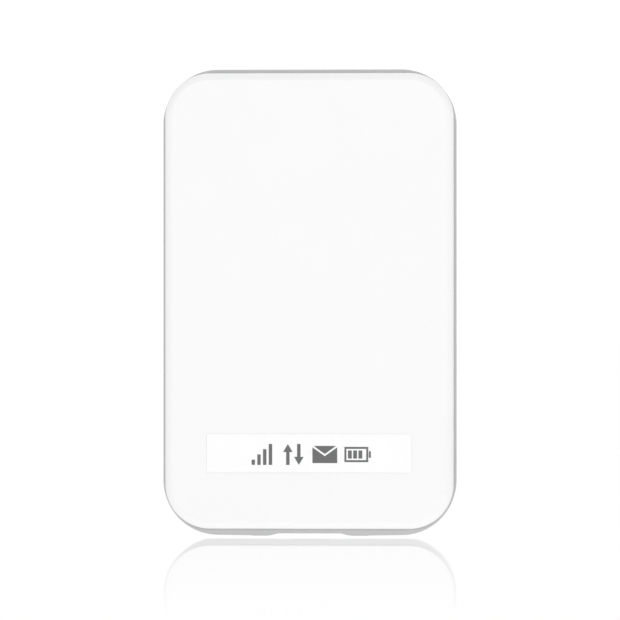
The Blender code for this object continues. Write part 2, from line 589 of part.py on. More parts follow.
def make_board_pieces():
    chips = {
        "baseband_chip": (-15.5, 64.0, 12.0, 12.0),
        "memory_chip": (-2.0, 64.0, 8.0, 10.5),
        "wifi_chip": (13.0, 64.0, 7.0, 7.0),
        "transceiver_chip": (-15.5, 36.0, 6.5, 6.5),
        "amplifier_chip": (-3.0, 36.0, 5.0, 5.0),
        "power_chip": (12.0, 36.0, 6.0, 6.0),
    }
    chip_y = (CHIP_FRONT_Y, BOARD_Y[0] - LIFT)
    for name, (x, z, width, height) in chips.items():
        bm = bmesh.new()
        add_block(bm, (x - width / 2, x + width / 2), chip_y, (z - height / 2, z + height / 2), 0.1)
        new_part(name, bm, CHIP_BLACK)
    make_shield("shield_can_upper", UPPER_CAN_Z)
    make_shield("shield_can_lower", LOWER_CAN_Z)
    pad = bmesh.new()
    add_block(pad, PAD_X, PAD_Y, PAD_Z)
    new_part("thermal_pad", pad, SILICONE_GREY)
    for number, (x, z) in enumerate(LIGHT_SPOTS, 1):
        lamp = bmesh.new()
        add_block(lamp, (x - 0.8, x + 0.8), (LAMP_FRONT_Y, BOARD_Y[0] - LIFT), (z - 0.4, z + 0.4), 0.08)
        new_part(f"status_led_{number}", lamp, LED_YELLOW)


# ---- Antennas -----------------------------------------------------------------------------


def make_antennas():
    """Flexible antennas glued to the bay floor, each fed by a spring clip on the board."""
    sheet_y = (FLOOR_Y[1] + LIFT, FLOOR_Y[1] + LIFT + 0.2)
    sheets = {
        "main_antenna": ((-20.5, 6.6), (90.4, 95.2)),
        "diversity_antenna": ((-20.0, -5.5), (2.6, 7.0)),
        "wifi_antenna": ((5.5, 20.0), (2.6, 7.0)),
    }
    for name, (x, z) in sheets.items():
        bm = bmesh.new()
        add_prism(bm, "Y", rounded(x, z, 0.8), sheet_y)
        new_part(name, bm, FLEX_BLACK)
    low_y, high_y = BOARD_Y[1] + LIFT, FLOOR_Y[1] - LIFT
    thick, side = 0.25, 0.9
    for number, (x, z) in enumerate(CLIP_SPOTS, 1):
        back, tip = thick - side, side - 0.2
        fold = ((-side, low_y), (side, low_y), (side, low_y + thick), (back, low_y + thick))
        fold += ((back, high_y - thick), (tip, high_y - thick), (tip, high_y), (-side, high_y))
        bm = bmesh.new()
        add_prism(bm, "Z", [(x + u, y) for u, y in fold], (z - 0.5, z + 0.5))
        new_part(f"antenna_clip_{number}", bm, GOLD)


# ---- Battery ------------------------------------------------------------------------------


def make_battery(group):
    """The pack: a pouch cell in its wrap, and the cap with three recessed contact pads."""
    cell = bmesh.new()
    add_block(cell, (-BATTERY_X, BATTERY_X), BATTERY_Y, CELL_Z, 0.8)
    new_part("battery_cell", cell, CELL_WRAP, group)
    end = bmesh.new()
    add_block(end, (-BATTERY_X, BATTERY_X), BATTERY_Y, CAP_Z, 0.4)
    cap = new_part("battery_cap", end, BLACK_PLASTIC, group)
    pockets = bmesh.new()
    for x in CONTACTS_X:
        add_block(pockets, (x - 1.1, x + 1.1), PAD_POCKET_Y, (CAP_Z[0] - 1.0, CAP_Z[0] + PAD_POCKET_DEPTH))
    shape_with(cap, "DIFFERENCE", "battery_cap_pockets", pockets)
    pad_y = (PAD_POCKET_Y[0] + 0.1, PAD_POCKET_Y[1] - 0.1)
    pad_z = (CAP_Z[0] + 0.02, CAP_Z[0] + PAD_POCKET_DEPTH - LIFT)
    for number, x in enumerate(CONTACTS_X, 1):
        pad = bmesh.new()
        add_block(pad, (x - 1.0, x + 1.0), pad_y, pad_z)
        new_part(f"battery_pad_{number}", pad, GOLD, group)


def make_battery_connector():
    """A block on the board with three hairpin springs that press on the pack's pads."""
    block = bmesh.new()
    add_block(block, BLOCK_X, (BOARD_Y[1] + LIFT, BLOCK_END_Y), BLOCK_Z, 0.2)
    connector = new_part("battery_connector", block, BLACK_PLASTIC)
    slots = bmesh.new()
    for x in CONTACTS_X:
        slot_z = (SPRING_FOOT_Z - 0.1, CAP_Z[0])
        add_block(slots, (x - 0.8, x + 0.8), (SPRING_MIDDLE_Y - 1.2, SPRING_MIDDLE_Y + 1.2), slot_z)
    shape_with(connector, "DIFFERENCE", "battery_connector_slots", slots)
    bend, inside, foot = SPRING_BEND, SPRING_BEND - SPRING_THICK, SPRING_FOOT_Z - SPRING_CROWN_Z
    arch = [(math.cos(math.pi * i / 8), math.sin(math.pi * i / 8)) for i in range(9)]
    outer = [(bend * u, bend * v) for u, v in arch]
    inner = [(inside * u, inside * v) for u, v in reversed(arch)]
    outline = [(bend, foot), *outer, (-bend, foot), (-inside, foot), *inner, (inside, foot)]
    hairpin = [(SPRING_MIDDLE_Y + u, SPRING_CROWN_Z + v) for u, v in outline]
    for number, x in enumerate(CONTACTS_X, 1):
        bm = bmesh.new()
        add_prism(bm, "X", hairpin, (x - 0.6, x + 0.6))
        new_part(f"battery_contact_{number}", bm, GOLD)
    foam = bmesh.new()
    add_block(foam, FOAM_X, (FLOOR_Y[1] + LIFT, BATTERY_Y[0] - LIFT), FOAM_Z)
    new_part("bay_foam_pad", foam, FOAM)


# ---- Assembly -----------------------------------------------------------------------------

clear_scene()
PARTS = new_collection("hotspot_parts")
CUTTERS = new_collection("hotspot_cutters")
DEVICE = new_empty("hotspot")
KEY_GROUP = new_empty("power_button_travel", (sum(KEY_X) / 2, sum(KEY_Y) / 2, KEY_Z[1]), DEVICE)
RESET_GROUP = new_empty("reset_travel", (RESET_SPOT[0], RESET_PIN_Y[1], RESET_SPOT[1]), DEVICE)
SIM_GROUP = new_empty("sim_card_travel", (SIM_CARD_X[1], sum(SIM_CARD_Y) / 2, sum(SIM_CARD_Z) / 2), DEVICE)
BATTERY_GROUP = new_empty("battery_lift", (0.0, BATTERY_Y[1], sum(CELL_Z) / 2), DEVICE)
COVER_GROUP = new_empty("rear_cover_lift", (0.0, REAR_FACE_Y, FRAME_EDGE.high / 2), DEVICE)

make_front_cover()
make_mid_frame()
make_rear_cover(COVER_GROUP)
make_indicator_film()
make_feet()
make_light_guide()
make_screws()
make_power_key(KEY_GROUP)
make_reset(RESET_GROUP)
make_usb()
make_sim_holder(SIM_GROUP)
make_main_board()
make_board_pieces()
make_antennas()
make_battery(BATTERY_GROUP)
make_battery_connector()
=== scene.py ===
"""Pocket mobile hotspot: the finished surfaces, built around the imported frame.

Lengths are in millimetres while a shape is drawn, and mesh_of() turns them into metres.
X is the width, Y the depth with the front at -Y, and Z the height above the foot pads.
"""
import json
import math
from collections import namedtuple

import bmesh
import bpy
from mathutils import Matrix, Vector


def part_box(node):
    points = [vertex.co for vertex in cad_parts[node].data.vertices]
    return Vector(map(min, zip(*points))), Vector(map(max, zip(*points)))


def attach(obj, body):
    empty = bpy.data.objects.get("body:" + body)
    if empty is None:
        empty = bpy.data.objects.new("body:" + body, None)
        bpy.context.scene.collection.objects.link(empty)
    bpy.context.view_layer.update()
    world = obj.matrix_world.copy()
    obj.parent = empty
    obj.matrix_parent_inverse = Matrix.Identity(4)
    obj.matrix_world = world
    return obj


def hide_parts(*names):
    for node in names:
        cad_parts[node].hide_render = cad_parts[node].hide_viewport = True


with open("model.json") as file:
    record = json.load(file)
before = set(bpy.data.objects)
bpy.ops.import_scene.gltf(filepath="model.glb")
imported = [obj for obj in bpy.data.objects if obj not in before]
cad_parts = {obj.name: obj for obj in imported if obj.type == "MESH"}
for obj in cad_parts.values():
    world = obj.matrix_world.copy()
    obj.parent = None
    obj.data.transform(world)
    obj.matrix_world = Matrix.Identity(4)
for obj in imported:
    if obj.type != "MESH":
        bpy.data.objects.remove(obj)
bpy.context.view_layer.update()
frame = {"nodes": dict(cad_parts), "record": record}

MM = 0.001
CORNER_STEPS = 24
EDGE_STEPS = 8
ROUND_STEPS = 40


def node_box(name):
    """The ranges of a CAD node along X, Y and Z, in millimetres."""
    low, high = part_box(name)
    return [(low[axis] / MM, high[axis] / MM) for axis in range(3)]


# ---- Sizes read from the frame ----

Outline = namedtuple("Outline", "half_width low high radius foot")
cover_x, cover_y, cover_z = node_box("front_cover")
ring_x, ring_y, ring_z = node_box("mid_frame")
back_x, back_y, back_z = node_box("rear_cover")
foot_x, foot_y, foot_z = node_box("foot_pad_right")
film_x, film_y, film_z = node_box("indicator_film")
key_x, key_y, key_z = node_box("power_button")
usb_x, usb_y, usb_z = node_box("usb_shell")
sim_x, sim_y, sim_z = node_box("sim_shell")
cell_x, cell_y, cell_z = node_box("battery_cell")
cap_x, cap_y, cap_z = node_box("battery_cap")

FRONT_EDGE = Outline(cover_x[1], *cover_z, 9.4, 0.0)
FRAME_EDGE = Outline(ring_x[1], ring_z[0] + 0.1, ring_z[1], 11.5, 1.0)
FRAME_BORE = FRAME_EDGE._replace(foot=0.0)
REAR_EDGE = Outline(back_x[1], *back_z, 10.6, 0.0)
FOOT_LINE = ((12.5, -0.1), (8.2, -0.1), (6.6, 0.32))

# Pairs run from front to back: across the shut lines, through the bay floor, along the flat side.
FRONT_Y, REAR_Y = cover_y[0], back_y[1]
FRONT_INSIDE_Y, REAR_INSIDE_Y = -5.6, 5.75
FRONT_SEAM_Y, REAR_SEAM_Y = (-4.5, ring_y[0]), (ring_y[1], 4.25)
SEAM_EDGE = 0.12
FLOOR_Y = (-1.0, -0.2)
FLAT_Y = (-3.3, 3.4)
BOARD_FRONT_Y = node_box("main_board")[1][0]

SCREWS = [f"case_screw_{number}" for number in range(1, 7)]
LAMPS = [f"status_led_{number}" for number in range(1, 5)]
CONTACTS = [f"battery_contact_{number}" for number in range(1, 4)]
CLIPS = [f"antenna_clip_{number}" for number in range(1, 4)]


def spot(name):
    """Where a node's middle lies across and up."""
    x, _, z = node_box(name)
    return sum(x) / 2, sum(z) / 2


SCREW_SPOTS = [spot(name) for name in SCREWS]
LAMP_SPOTS = [spot(name) for name in LAMPS]
CONTACT_SPOTS = [spot(name) for name in CONTACTS]
CLIP_SPOTS = [spot(name) for name in CLIPS]
RESET_SPOT = spot("reset_plunger")
POST_SPOTS = [(side * 25.5, z) for z in (30.0, 68.0) for side in (-1, 1)]
POST_RADIUS = 1.2
LIGHT_PIN_SPOTS = [(side * 14.4, LAMP_SPOTS[0][1]) for side in (-1, 1)]
HOOK_SPOTS = [(side, z) for side in (-1, 1) for z in (22.0, 62.0, 80.0)]
HOOK_HALF, TOP_HOOK_X = 2.5, -8.0
HOOK_REACH, TOP_HOOK_Z = (28.85, 29.5), (95.95, 96.6)
GROOVE_REACH, TOP_GROOVE_Z, GROOVE_GAP = (28.4, 29.85), (95.3, 96.9), 0.3

KEY_CAP_X, KEY_CAP_Y, KEY_CAP_BASE = (9.5, 18.5), (-1.4, 1.0), 95.9
KEY_FLANGE_Z = (95.55, 96.15)
KEY_STEM_HALF, KEY_STEM_Y, KEY_STEM_TOP = 1.0, (-2.15, -1.45), 95.8
KEY_GAP = 0.2
SWITCH_BAY = ((7.5, 20.5), (-2.6, 2.2), (93.0, 96.45))

# How much wider than its hole an opening is, at each height.
KEY_FLARE = ((0.0, 96.3), (0.0, 97.85), (0.15, 98.0), (0.15, 99.0))
SOCKET_FLARE = ((0.3, -1.0), (0.3, 0.5), (0.0, 0.8), (0.0, usb_z[1] + 0.4))
SOCKET_GAP_X, SOCKET_GAP_Y = 0.35, 0.3

SIDE_RIB_REACH = (cell_x[1] + 0.3, cell_x[1] + 1.1)
SIDE_RIB_Z = ((31.0, 46.0), (52.0, 86.0))
LOW_RIB_REACH, LOW_RIB_Z = (7.2, 22.0), (25.6, 26.4)
TOP_RIB_X, TOP_RIB_Z = (-20.0, 20.0), (89.4, 90.1)
SIM_WINDOW = ((sim_x[0] - 1.0, 12.0), (7.6, 20.6))
CONNECTOR_WINDOW = ((-6.4, 6.4), (21.8, 26.6))
CLIP_WINDOW_HALF = (1.2, 0.8)
NAIL_NOTCH = ((-32.0, -29.7), (15.0, 24.0))
NOTCH_ARROW = ((-27.4, 19.5), (-26.0, 18.3), (-26.0, 20.7))


# ---- Drawing shapes ----


def on_axis(axis, u, v, w):
    """The point that lies w along the axis, with u and v across it in X, Y, Z order."""
    return Vector({"X": (w, u, v), "Y": (u, w, v), "Z": (u, v, w)}[axis])


def add_loft(bm, rings):
    """A closed skin over a run of rings that have the same number of points."""
    loops = [[bm.verts.new(point) for point in ring] for ring in rings]
    for near, far in zip(loops, loops[1:]):
        for i, start in enumerate(near):
            j = (i + 1) % len(near)
            bm.faces.new((start, near[j], far[j], far[i]))
    bm.faces.new(loops[0])
    bm.faces.new(reversed(loops[-1]))


def add_prism(bm, axis, points, along, edge=0.0):
    """A flat outline carried along an axis, with both ends rounded off by edge."""
    if not edge:
        add_loft(bm, [[on_axis(axis, u, v, w) for u, v in points] for w in along])
        return
    start, end = along
    turn = quarter(4)
    stations = [(edge * (1 - sine), start + edge * (1 - cosine)) for sine, cosine in turn]
    stations += [(edge * (1 - sine), end - edge * (1 - cosine)) for sine, cosine in reversed(turn)]
    add_loft(bm, [[on_axis(axis, u, v, w) for u, v in shrunk(points, inset)] for inset, w in stations])


def shrunk(points, inset):
    """A convex or gently bent outline moved inwards, each point along its two edges' bisector."""
    turn = sum(a[0] * b[1] - b[0] * a[1] for a, b in zip(points, points[1:] + points[:1]))
    sign = 1 if turn > 0 else -1
    moved = []
    for i, (u, v) in enumerate(points):
        before, after = Vector(points[i - 1]), Vector(points[(i + 1) % len(points)])
        into, out = (Vector((u, v)) - before).normalized(), (after - Vector((u, v))).normalized()
        normals = [Vector((-way.y, way.x)) * sign for way in (into, out)]
        bisector = (normals[0] + normals[1]).normalized()
        reach = inset / max(bisector.dot(normals[0]), 0.5)
        moved.append((u + bisector.x * reach, v + bisector.y * reach))
    return moved


def add_block(bm, x, y, z, edge=0.0, segments=3):
    """A box over the ranges x, y and z, with its edges rounded by edge."""
    corners = bmesh.ops.create_cube(bm, size=1.0)["verts"]
    for corner in corners:
        corner.co = Vector((x[corner.co.x > 0], y[corner.co.y > 0], z[corner.co.z > 0]))
    if edge:
        edges = list({link for corner in corners for link in corner.link_edges})
        bmesh.ops.bevel(bm, geom=edges, offset=edge, segments=segments, profile=0.5, affect="EDGES")


def circle(radius):
    turns = [2 * math.pi * i / ROUND_STEPS for i in range(ROUND_STEPS)]
    return [(radius * math.cos(turn), radius * math.sin(turn)) for turn in turns]


def rounded(u, v, radius, steps=8):
    """The points of a rectangle over the ranges u and v with round corners."""
    points = []
    corners = ((u[1], v[0], -90), (u[1], v[1], 0), (u[0], v[1], 90), (u[0], v[0], 180))
    for corner_u, corner_v, start in corners:
        centre_u = corner_u - math.copysign(radius, corner_u - sum(u) / 2)
        centre_v = corner_v - math.copysign(radius, corner_v - sum(v) / 2)
        for step in range(steps + 1):
            turn = math.radians(start + 90 * step / steps)
            points.append((centre_u + radius * math.cos(turn), centre_v + radius * math.sin(turn)))
    return points


def cross_points(reach, half):
    """A plus sign with arms of this reach and half width."""
    arm = ((reach, -half), (reach, half), (half, half))
    turned = []
    for _ in range(4):
        turned += arm
        arm = tuple((-v, u) for u, v in arm)
    return turned


def stroke(points, width):
    """The outline of a line of this width through the points, with mitred bends."""
    sides = ([], [])
    for i, point in enumerate(points):
        here = Vector(point)
        into = (here - Vector(points[max(i - 1, 0)])).normalized() if i else None
        out = (Vector(points[i + 1]) - here).normalized() if i + 1 < len(points) else None
        into, out = into or out, out or into
        normal = Vector((-into.y, into.x)) + Vector((-out.y, out.x))
        normal = normal.normalized()
        reach = width / 2 / max(normal.dot(Vector((-into.y, into.x))), 0.3)
        for side, sign in zip(sides, (1, -1)):
            side.append(tuple(here + normal * reach * sign))
    return sides[0] + sides[1][::-1]


def add_rods(bm, spots, radius, y):
    """Round rods along Y over the range y, one at each spot across and up."""
    for x, z in spots:
        add_prism(bm, "Y", [(x + u, z + v) for u, v in circle(radius)], y)


def add_flared(bm, x, y, radius, stations):
    """A round-cornered shaft along Z over the ranges x and y, wider by grow at each height."""
    rings = []
    for grow, z in stations:
        outline = rounded((x[0] - grow, x[1] + grow), (y[0] - grow, y[1] + grow), radius + grow)
        rings.append([Vector((u, v, z)) for u, v in outline])
    add_loft(bm, rings)


def on_side(side, reach):
    """The range that lies this far out on one side, -1 or 1, of the middle."""
    return sorted(side * far for far in reach)


def blend(first, second, share):
    """The outline that lies this share of the way from the first to the second."""
    return Outline(*(a + (b - a) * share for a, b in zip(first, second)))


def case_ring(outline, inset, y):
    """One ring of the case: a round-cornered upright whose bottom edge carries the foot line."""
    half, radius = outline.half_width - inset, outline.radius - inset
    low, high = outline.low + inset, outline.high - inset
    ring = []
    low_centre, high_centre = low + radius, high - radius
    corners = ((1, low_centre, -90), (1, high_centre, 0), (-1, high_centre, 90), (-1, low_centre, 180))
    for side, centre_z, start in corners:
        for step in range(CORNER_STEPS + 1):
            turn = math.radians(start + 90 * step / CORNER_STEPS)
            x = side * (half - radius) + radius * math.cos(turn)
            ring.append(Vector((x, y, centre_z + radius * math.sin(turn))))
    for x, rise in FOOT_LINE:
        ring.append(Vector((-x, y, low + outline.foot * rise)))
    for x, rise in reversed(FOOT_LINE):
        ring.append(Vector((x, y, low + outline.foot * rise)))
    return ring


def quarter(steps, start=0.0):
    """The sine and cosine of even steps from the start angle to a quarter turn."""
    turns = [math.radians(start + (90 - start) * step / steps) for step in range(steps + 1)]
    return [(math.sin(turn), math.cos(turn)) for turn in turns]


# ---- Making pieces ----


def mesh_of(name, bm):
    bmesh.ops.recalc_face_normals(bm, faces=bm.faces[:])
    bm.transform(Matrix.Scale(MM, 4))
    mesh = bpy.data.meshes.new(name)
    bm.to_mesh(mesh)
    bm.free()
    return mesh


def carve(piece, operation, bm):
    """Cuts the solids in bm out of the piece, or joins them to it, and keeps the result."""
    tool = bpy.data.objects.new("carving_tool", mesh_of("carving_tool", bm))
    bpy.context.scene.collection.objects.link(tool)
    step = piece.modifiers.new("carve", "BOOLEAN")
    step.operation = operation
    step.solver = "EXACT"
    step.object = tool
    graph = bpy.context.evaluated_depsgraph_get()
    carved = bpy.data.meshes.new_from_object(piece.evaluated_get(graph))
    piece.modifiers.clear()
    piece.data = carved
    bpy.data.objects.remove(tool)


def start_piece(name, bm):
    piece = bpy.data.objects.new(name, mesh_of(name, bm))
    bpy.context.scene.collection.objects.link(piece)
    return piece


def finish_piece(piece, body, material, stands_for=(), smooth=30.0):
    """Shades the piece, gives it its material, and ties it to its body and its CAD nodes."""
    mesh = piece.data
    mesh.materials.clear()
    mesh.materials.append(material)
    mesh.shade_smooth()
    mesh.set_sharp_from_angle(angle=math.radians(smooth))
    even = piece.modifiers.new("even_shading", "WEIGHTED_NORMAL")
    even.keep_sharp = True
    even.weight = 80
    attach(piece, body)
    if stands_for:
        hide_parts(*stands_for)
    return piece


def whole_piece(name, bm, body, material, stands_for=(), smooth=30.0):
    return finish_piece(start_piece(name, bm), body, material, stands_for, smooth)


# ---- Materials ----


class Nodes:
    """A material's node tree, with a short way to add and join nodes."""

    def __init__(self, name):
        self.material = bpy.data.materials.new(name)
        self.material.use_nodes = True
        self.tree = self.material.node_tree
        self.shader = self.tree.nodes["Principled BSDF"]
        self.place = self.add("ShaderNodeTexCoord").outputs["Object"]

    def add(self, kind, **inputs):
        node = self.tree.nodes.new(kind)
        for name, value in inputs.items():
            self.set(node, name, value)
        return node

    def put(self, socket, value):
        """Links the socket to a node's output, or gives it a plain value."""
        if isinstance(value, bpy.types.NodeSocket):
            self.tree.links.new(value, socket)
        else:
            socket.default_value = (*value, 1.0) if socket.type == "RGBA" else value

    def set(self, node, name, value):
        self.put(node.inputs[name], value)

    def noise(self, scale, detail=2.0, roughness=0.5, place=None):
        """Cloudy values from 0 to 1, with features about one over scale metres wide."""
        inputs = {"Vector": place or self.place, "Scale": scale, "Detail": detail, "Roughness": roughness}
        return self.add("ShaderNodeTexNoise", **inputs).outputs["Fac"]

    def remap(self, value, low, high, start=0.3, end=0.7):
        inputs = {"Value": value, "From Min": start, "From Max": end, "To Min": low, "To Max": high}
        return self.add("ShaderNodeMapRange", **inputs).outputs["Result"]

    def math(self, operation, first, second=0.0):
        node = self.tree.nodes.new("ShaderNodeMath")
        node.operation = operation
        self.put(node.inputs[0], first)
        self.put(node.inputs[1], second)
        return node.outputs[0]

    def mix(self, share, first, second):
        """A colour between first and second."""
        node = self.tree.nodes.new("ShaderNodeMix")
        node.data_type = "RGBA"
        colours = [socket for socket in node.inputs if socket.type == "RGBA"]
        for socket, value in zip((node.inputs["Factor"], *colours), (share, first, second)):
            self.put(socket, value)
        return [socket for socket in node.outputs if socket.type == "RGBA"][0]

    def bump(self, heights):
        """Bumps one after another, each a height value with its depth in metres."""
        normal = None
        for height, depth in heights:
            inputs = {"Height": height, "Strength": 1.0, "Distance": depth}
            if normal:
                inputs["Normal"] = normal
            normal = self.add("ShaderNodeBump", **inputs).outputs["Normal"]
        self.set(self.shader, "Normal", normal)


def shades(colour, spread):
    """A little darker and a little lighter than the colour."""
    return tuple(c * (1 - spread) for c in colour), tuple(min(c * (1 + spread), 1.0) for c in colour)


def plastic(name, colour, roughness, grain, depth, spread=0.015, coat=0.0, specular=0.5):
    """Moulded or painted plastic: moulding grain, faint flow marks and handling marks in the gloss."""
    make = Nodes(name)
    flow = make.noise(60.0, 3.0)
    dark, light = shades(colour, spread)
    make.set(make.shader, "Base Color", make.mix(make.remap(flow, 0.0, 1.0), dark, light))
    smear = make.noise(220.0, 5.0, 0.65)
    fine = make.noise(grain, 2.0)
    worn = make.math("ADD", make.remap(smear, -0.05, 0.06), make.remap(fine, -0.02, 0.02))
    make.set(make.shader, "Roughness", make.math("ADD", worn, roughness))
    ripple = make.noise(450.0, 1.0)
    make.bump([(fine, depth), (ripple, depth * 2)])
    make.shader.inputs["Coat Weight"].default_value = coat
    make.shader.inputs["Coat Roughness"].default_value = 0.08
    make.shader.inputs["Specular IOR Level"].default_value = specular
    return make.material


def metal(name, colour, roughness, brushed=(1.0, 1.0, 1.0), spread=0.06, depth=0.000004):
    """Plated sheet: a satin skin with rolling lines along one axis and small stains."""
    make = Nodes(name)
    stretch = make.add("ShaderNodeMapping", Vector=make.place)
    stretch.inputs["Scale"].default_value = brushed
    lines = make.noise(3000.0, 3.0, 0.6, stretch.outputs["Vector"])
    stain = make.noise(350.0, 4.0)
    dark, light = shades(colour, spread)
    make.set(make.shader, "Base Color", make.mix(make.remap(stain, 0.0, 1.0), dark, light))
    worn = make.math("ADD", make.remap(lines, -0.08, 0.08), make.remap(stain, -0.04, 0.06))
    make.set(make.shader, "Roughness", make.math("ADD", worn, roughness))
    make.bump([(lines, depth)])
    make.shader.inputs["Metallic"].default_value = 1.0
    return make.material


def circuit_board():
    """Green solder mask over copper tracks, pads and vias."""
    make = Nodes("board_green")
    flat = make.add("ShaderNodeMapping", Vector=make.place)
    flat.inputs["Rotation"].default_value = (math.radians(90), 0.0, 0.0)
    tracks = make.add("ShaderNodeTexBrick", Vector=flat.outputs["Vector"], Scale=420.0)
    tracks.inputs["Mortar Size"].default_value = 0.06
    tracks.inputs["Mortar Smooth"].default_value = 0.2
    tracks.inputs["Brick Width"].default_value = 1.9
    tracks.inputs["Row Height"].default_value = 0.42
    vias = make.add("ShaderNodeTexVoronoi", Vector=make.place, Scale=520.0)
    via = make.remap(vias.outputs["Distance"], 1.0, 0.0, 0.12, 0.16)
    copper = make.math("MAXIMUM", tracks.outputs["Fac"], via)
    zone = make.remap(make.noise(160.0, 1.0), 0.0, 1.0, 0.42, 0.5)
    shown = make.math("MULTIPLY", copper, zone)
    make.set(make.shader, "Base Color", make.mix(shown, (0.012, 0.085, 0.042), (0.045, 0.21, 0.085)))
    make.set(make.shader, "Roughness", make.remap(make.noise(900.0, 3.0), 0.3, 0.5))
    make.bump([(shown, 0.00002), (make.noise(6000.0), 0.000004)])
    make.shader.inputs["Coat Weight"].default_value = 0.3
    return make.material


def cloudy(name, colour, roughness, grain, depth, spread=0.1):
    """Foam, silicone and elastomer: matt with an open or dusty surface."""
    make = Nodes(name)
    dark, light = shades(colour, spread)
    cells = make.add("ShaderNodeTexVoronoi", Vector=make.place, Scale=grain)
    dust = make.noise(grain / 6, 4.0)
    make.set(make.shader, "Base Color", make.mix(make.remap(dust, 0.0, 1.0), dark, light))
    make.set(make.shader, "Roughness", make.remap(dust, roughness - 0.06, roughness + 0.08))
    make.bump([(cells.outputs["Distance"], depth), (make.noise(grain * 2), depth / 2)])
    make.shader.inputs["Specular IOR Level"].default_value = 0.3
    return make.material


def clear_plastic(name, colour, roughness):
    make = Nodes(name)
    haze = make.noise(500.0, 4.0)
    dark, light = shades(colour, 0.02)
    make.set(make.shader, "Base Color", make.mix(make.remap(haze, 0.0, 1.0), dark, light))
    make.set(make.shader, "Roughness", make.remap(haze, roughness, roughness + 0.08))
    make.bump([(make.noise(2500.0), 0.000003)])
    make.shader.inputs["Transmission Weight"].default_value = 0.6
    make.shader.inputs["IOR"].default_value = 1.49
    return make.material


def printed_wrap():
    """The battery's satin film: pale grey with a darker band and a fine diagonal weave."""
    make = Nodes("battery_wrap")
    parts = make.add("ShaderNodeSeparateXYZ", Vector=make.place)
    height = parts.outputs["Z"]
    band_low, band_high = (cell_z[0] + 3.0) * MM, (cell_z[0] + 11.0) * MM
    above = make.math("GREATER_THAN", height, band_low)
    below = make.math("LESS_THAN", height, band_high)
    band = make.math("MULTIPLY", above, below)
    ink = make.remap(make.noise(1800.0, 3.0), 0.9, 1.0)
    paper = make.mix(make.remap(make.noise(90.0, 3.0), 0.0, 1.0), (0.70, 0.71, 0.72), (0.77, 0.78, 0.79))
    make.set(make.shader, "Base Color", make.mix(make.math("MULTIPLY", band, ink), paper, (0.16, 0.30, 0.46)))
    smear = make.noise(260.0, 5.0, 0.6)
    make.set(make.shader, "Roughness", make.remap(smear, 0.32, 0.46))
    make.bump([(make.noise(3500.0), 0.000004), (make.noise(120.0, 2.0), 0.00004)])
    return make.material


WHITE = plastic("front_white_gloss", (0.905, 0.905, 0.905), 0.2, 5200.0, 0.0000012, 0.004, 0.35)
BACK_WHITE = plastic("rear_white_satin", (0.885, 0.885, 0.885), 0.33, 3800.0, 0.000004, 0.008, 0.1)
GREY = plastic("frame_grey_satin", (0.49, 0.49, 0.492), 0.36, 4200.0, 0.000003, 0.02, 0.1)
FILM = plastic("film_hard_coat", (0.95, 0.95, 0.95), 0.14, 6000.0, 0.0000008, 0.002, 0.3)
PRINT = plastic("print_grey", (0.138, 0.138, 0.141), 0.42, 5200.0, 0.000003, 0.05)
BLACK = plastic("black_plastic", (0.028, 0.028, 0.03), 0.48, 3600.0, 0.00001, 0.12)
CHIP = plastic("chip_black", (0.022, 0.022, 0.024), 0.5, 5000.0, 0.000008, 0.15)
CARD = plastic("card_white", (0.83, 0.83, 0.84), 0.36, 4200.0, 0.000003, 0.015)
LAMP = plastic("lamp_resin", (0.80, 0.74, 0.40), 0.25, 3000.0, 0.000004, 0.05, 0.4)
FLEX = plastic("flex_black_film", (0.04, 0.035, 0.03), 0.34, 3000.0, 0.000004, 0.1)
TIN = metal("tin_plate", (0.64, 0.63, 0.61), 0.3, (1.0, 1.0, 0.08))
STEEL = metal("nickel_steel", (0.55, 0.55, 0.56), 0.26, (1.0, 0.1, 1.0))
GOLD = metal("gold_plate", (0.83, 0.62, 0.29), 0.24, (0.2, 1.0, 1.0))
BOARD = circuit_board()
GUIDE = clear_plastic("clear_guide", (0.86, 0.89, 0.9), 0.1)
SILICONE = cloudy("silicone_grey", (0.30, 0.34, 0.40), 0.62, 2600.0, 0.00001)
FOAM = cloudy("foam_black", (0.035, 0.035, 0.038), 0.86, 3200.0, 0.00006, 0.25)
FOOT = cloudy("foot_elastomer", (0.42, 0.42, 0.425), 0.55, 4200.0, 0.000008, 0.06)
WRAP = printed_wrap()


# ---- Casing ----


def seam_edge(outline, seam, way):
    """Rings over the small rounded edge of a cover at its shut line."""
    return [
        case_ring(outline, SEAM_EDGE * (1 - sine), seam + way * SEAM_EDGE * (1 - cosine))
        for sine, cosine in reversed(quarter(3))
    ]


def tongue_rings(outline, outside, inside, seam, end, way, chamfer=0.08):
    """Rings from the shut line out along a cover's tongue, over its end and to its inner side."""
    return [
        case_ring(outline, outside, seam),
        case_ring(outline, outside, end + way * chamfer),
        case_ring(outline, outside + chamfer, end),
        case_ring(outline, inside - chamfer, end),
        case_ring(outline, inside, end + way * chamfer),
    ]


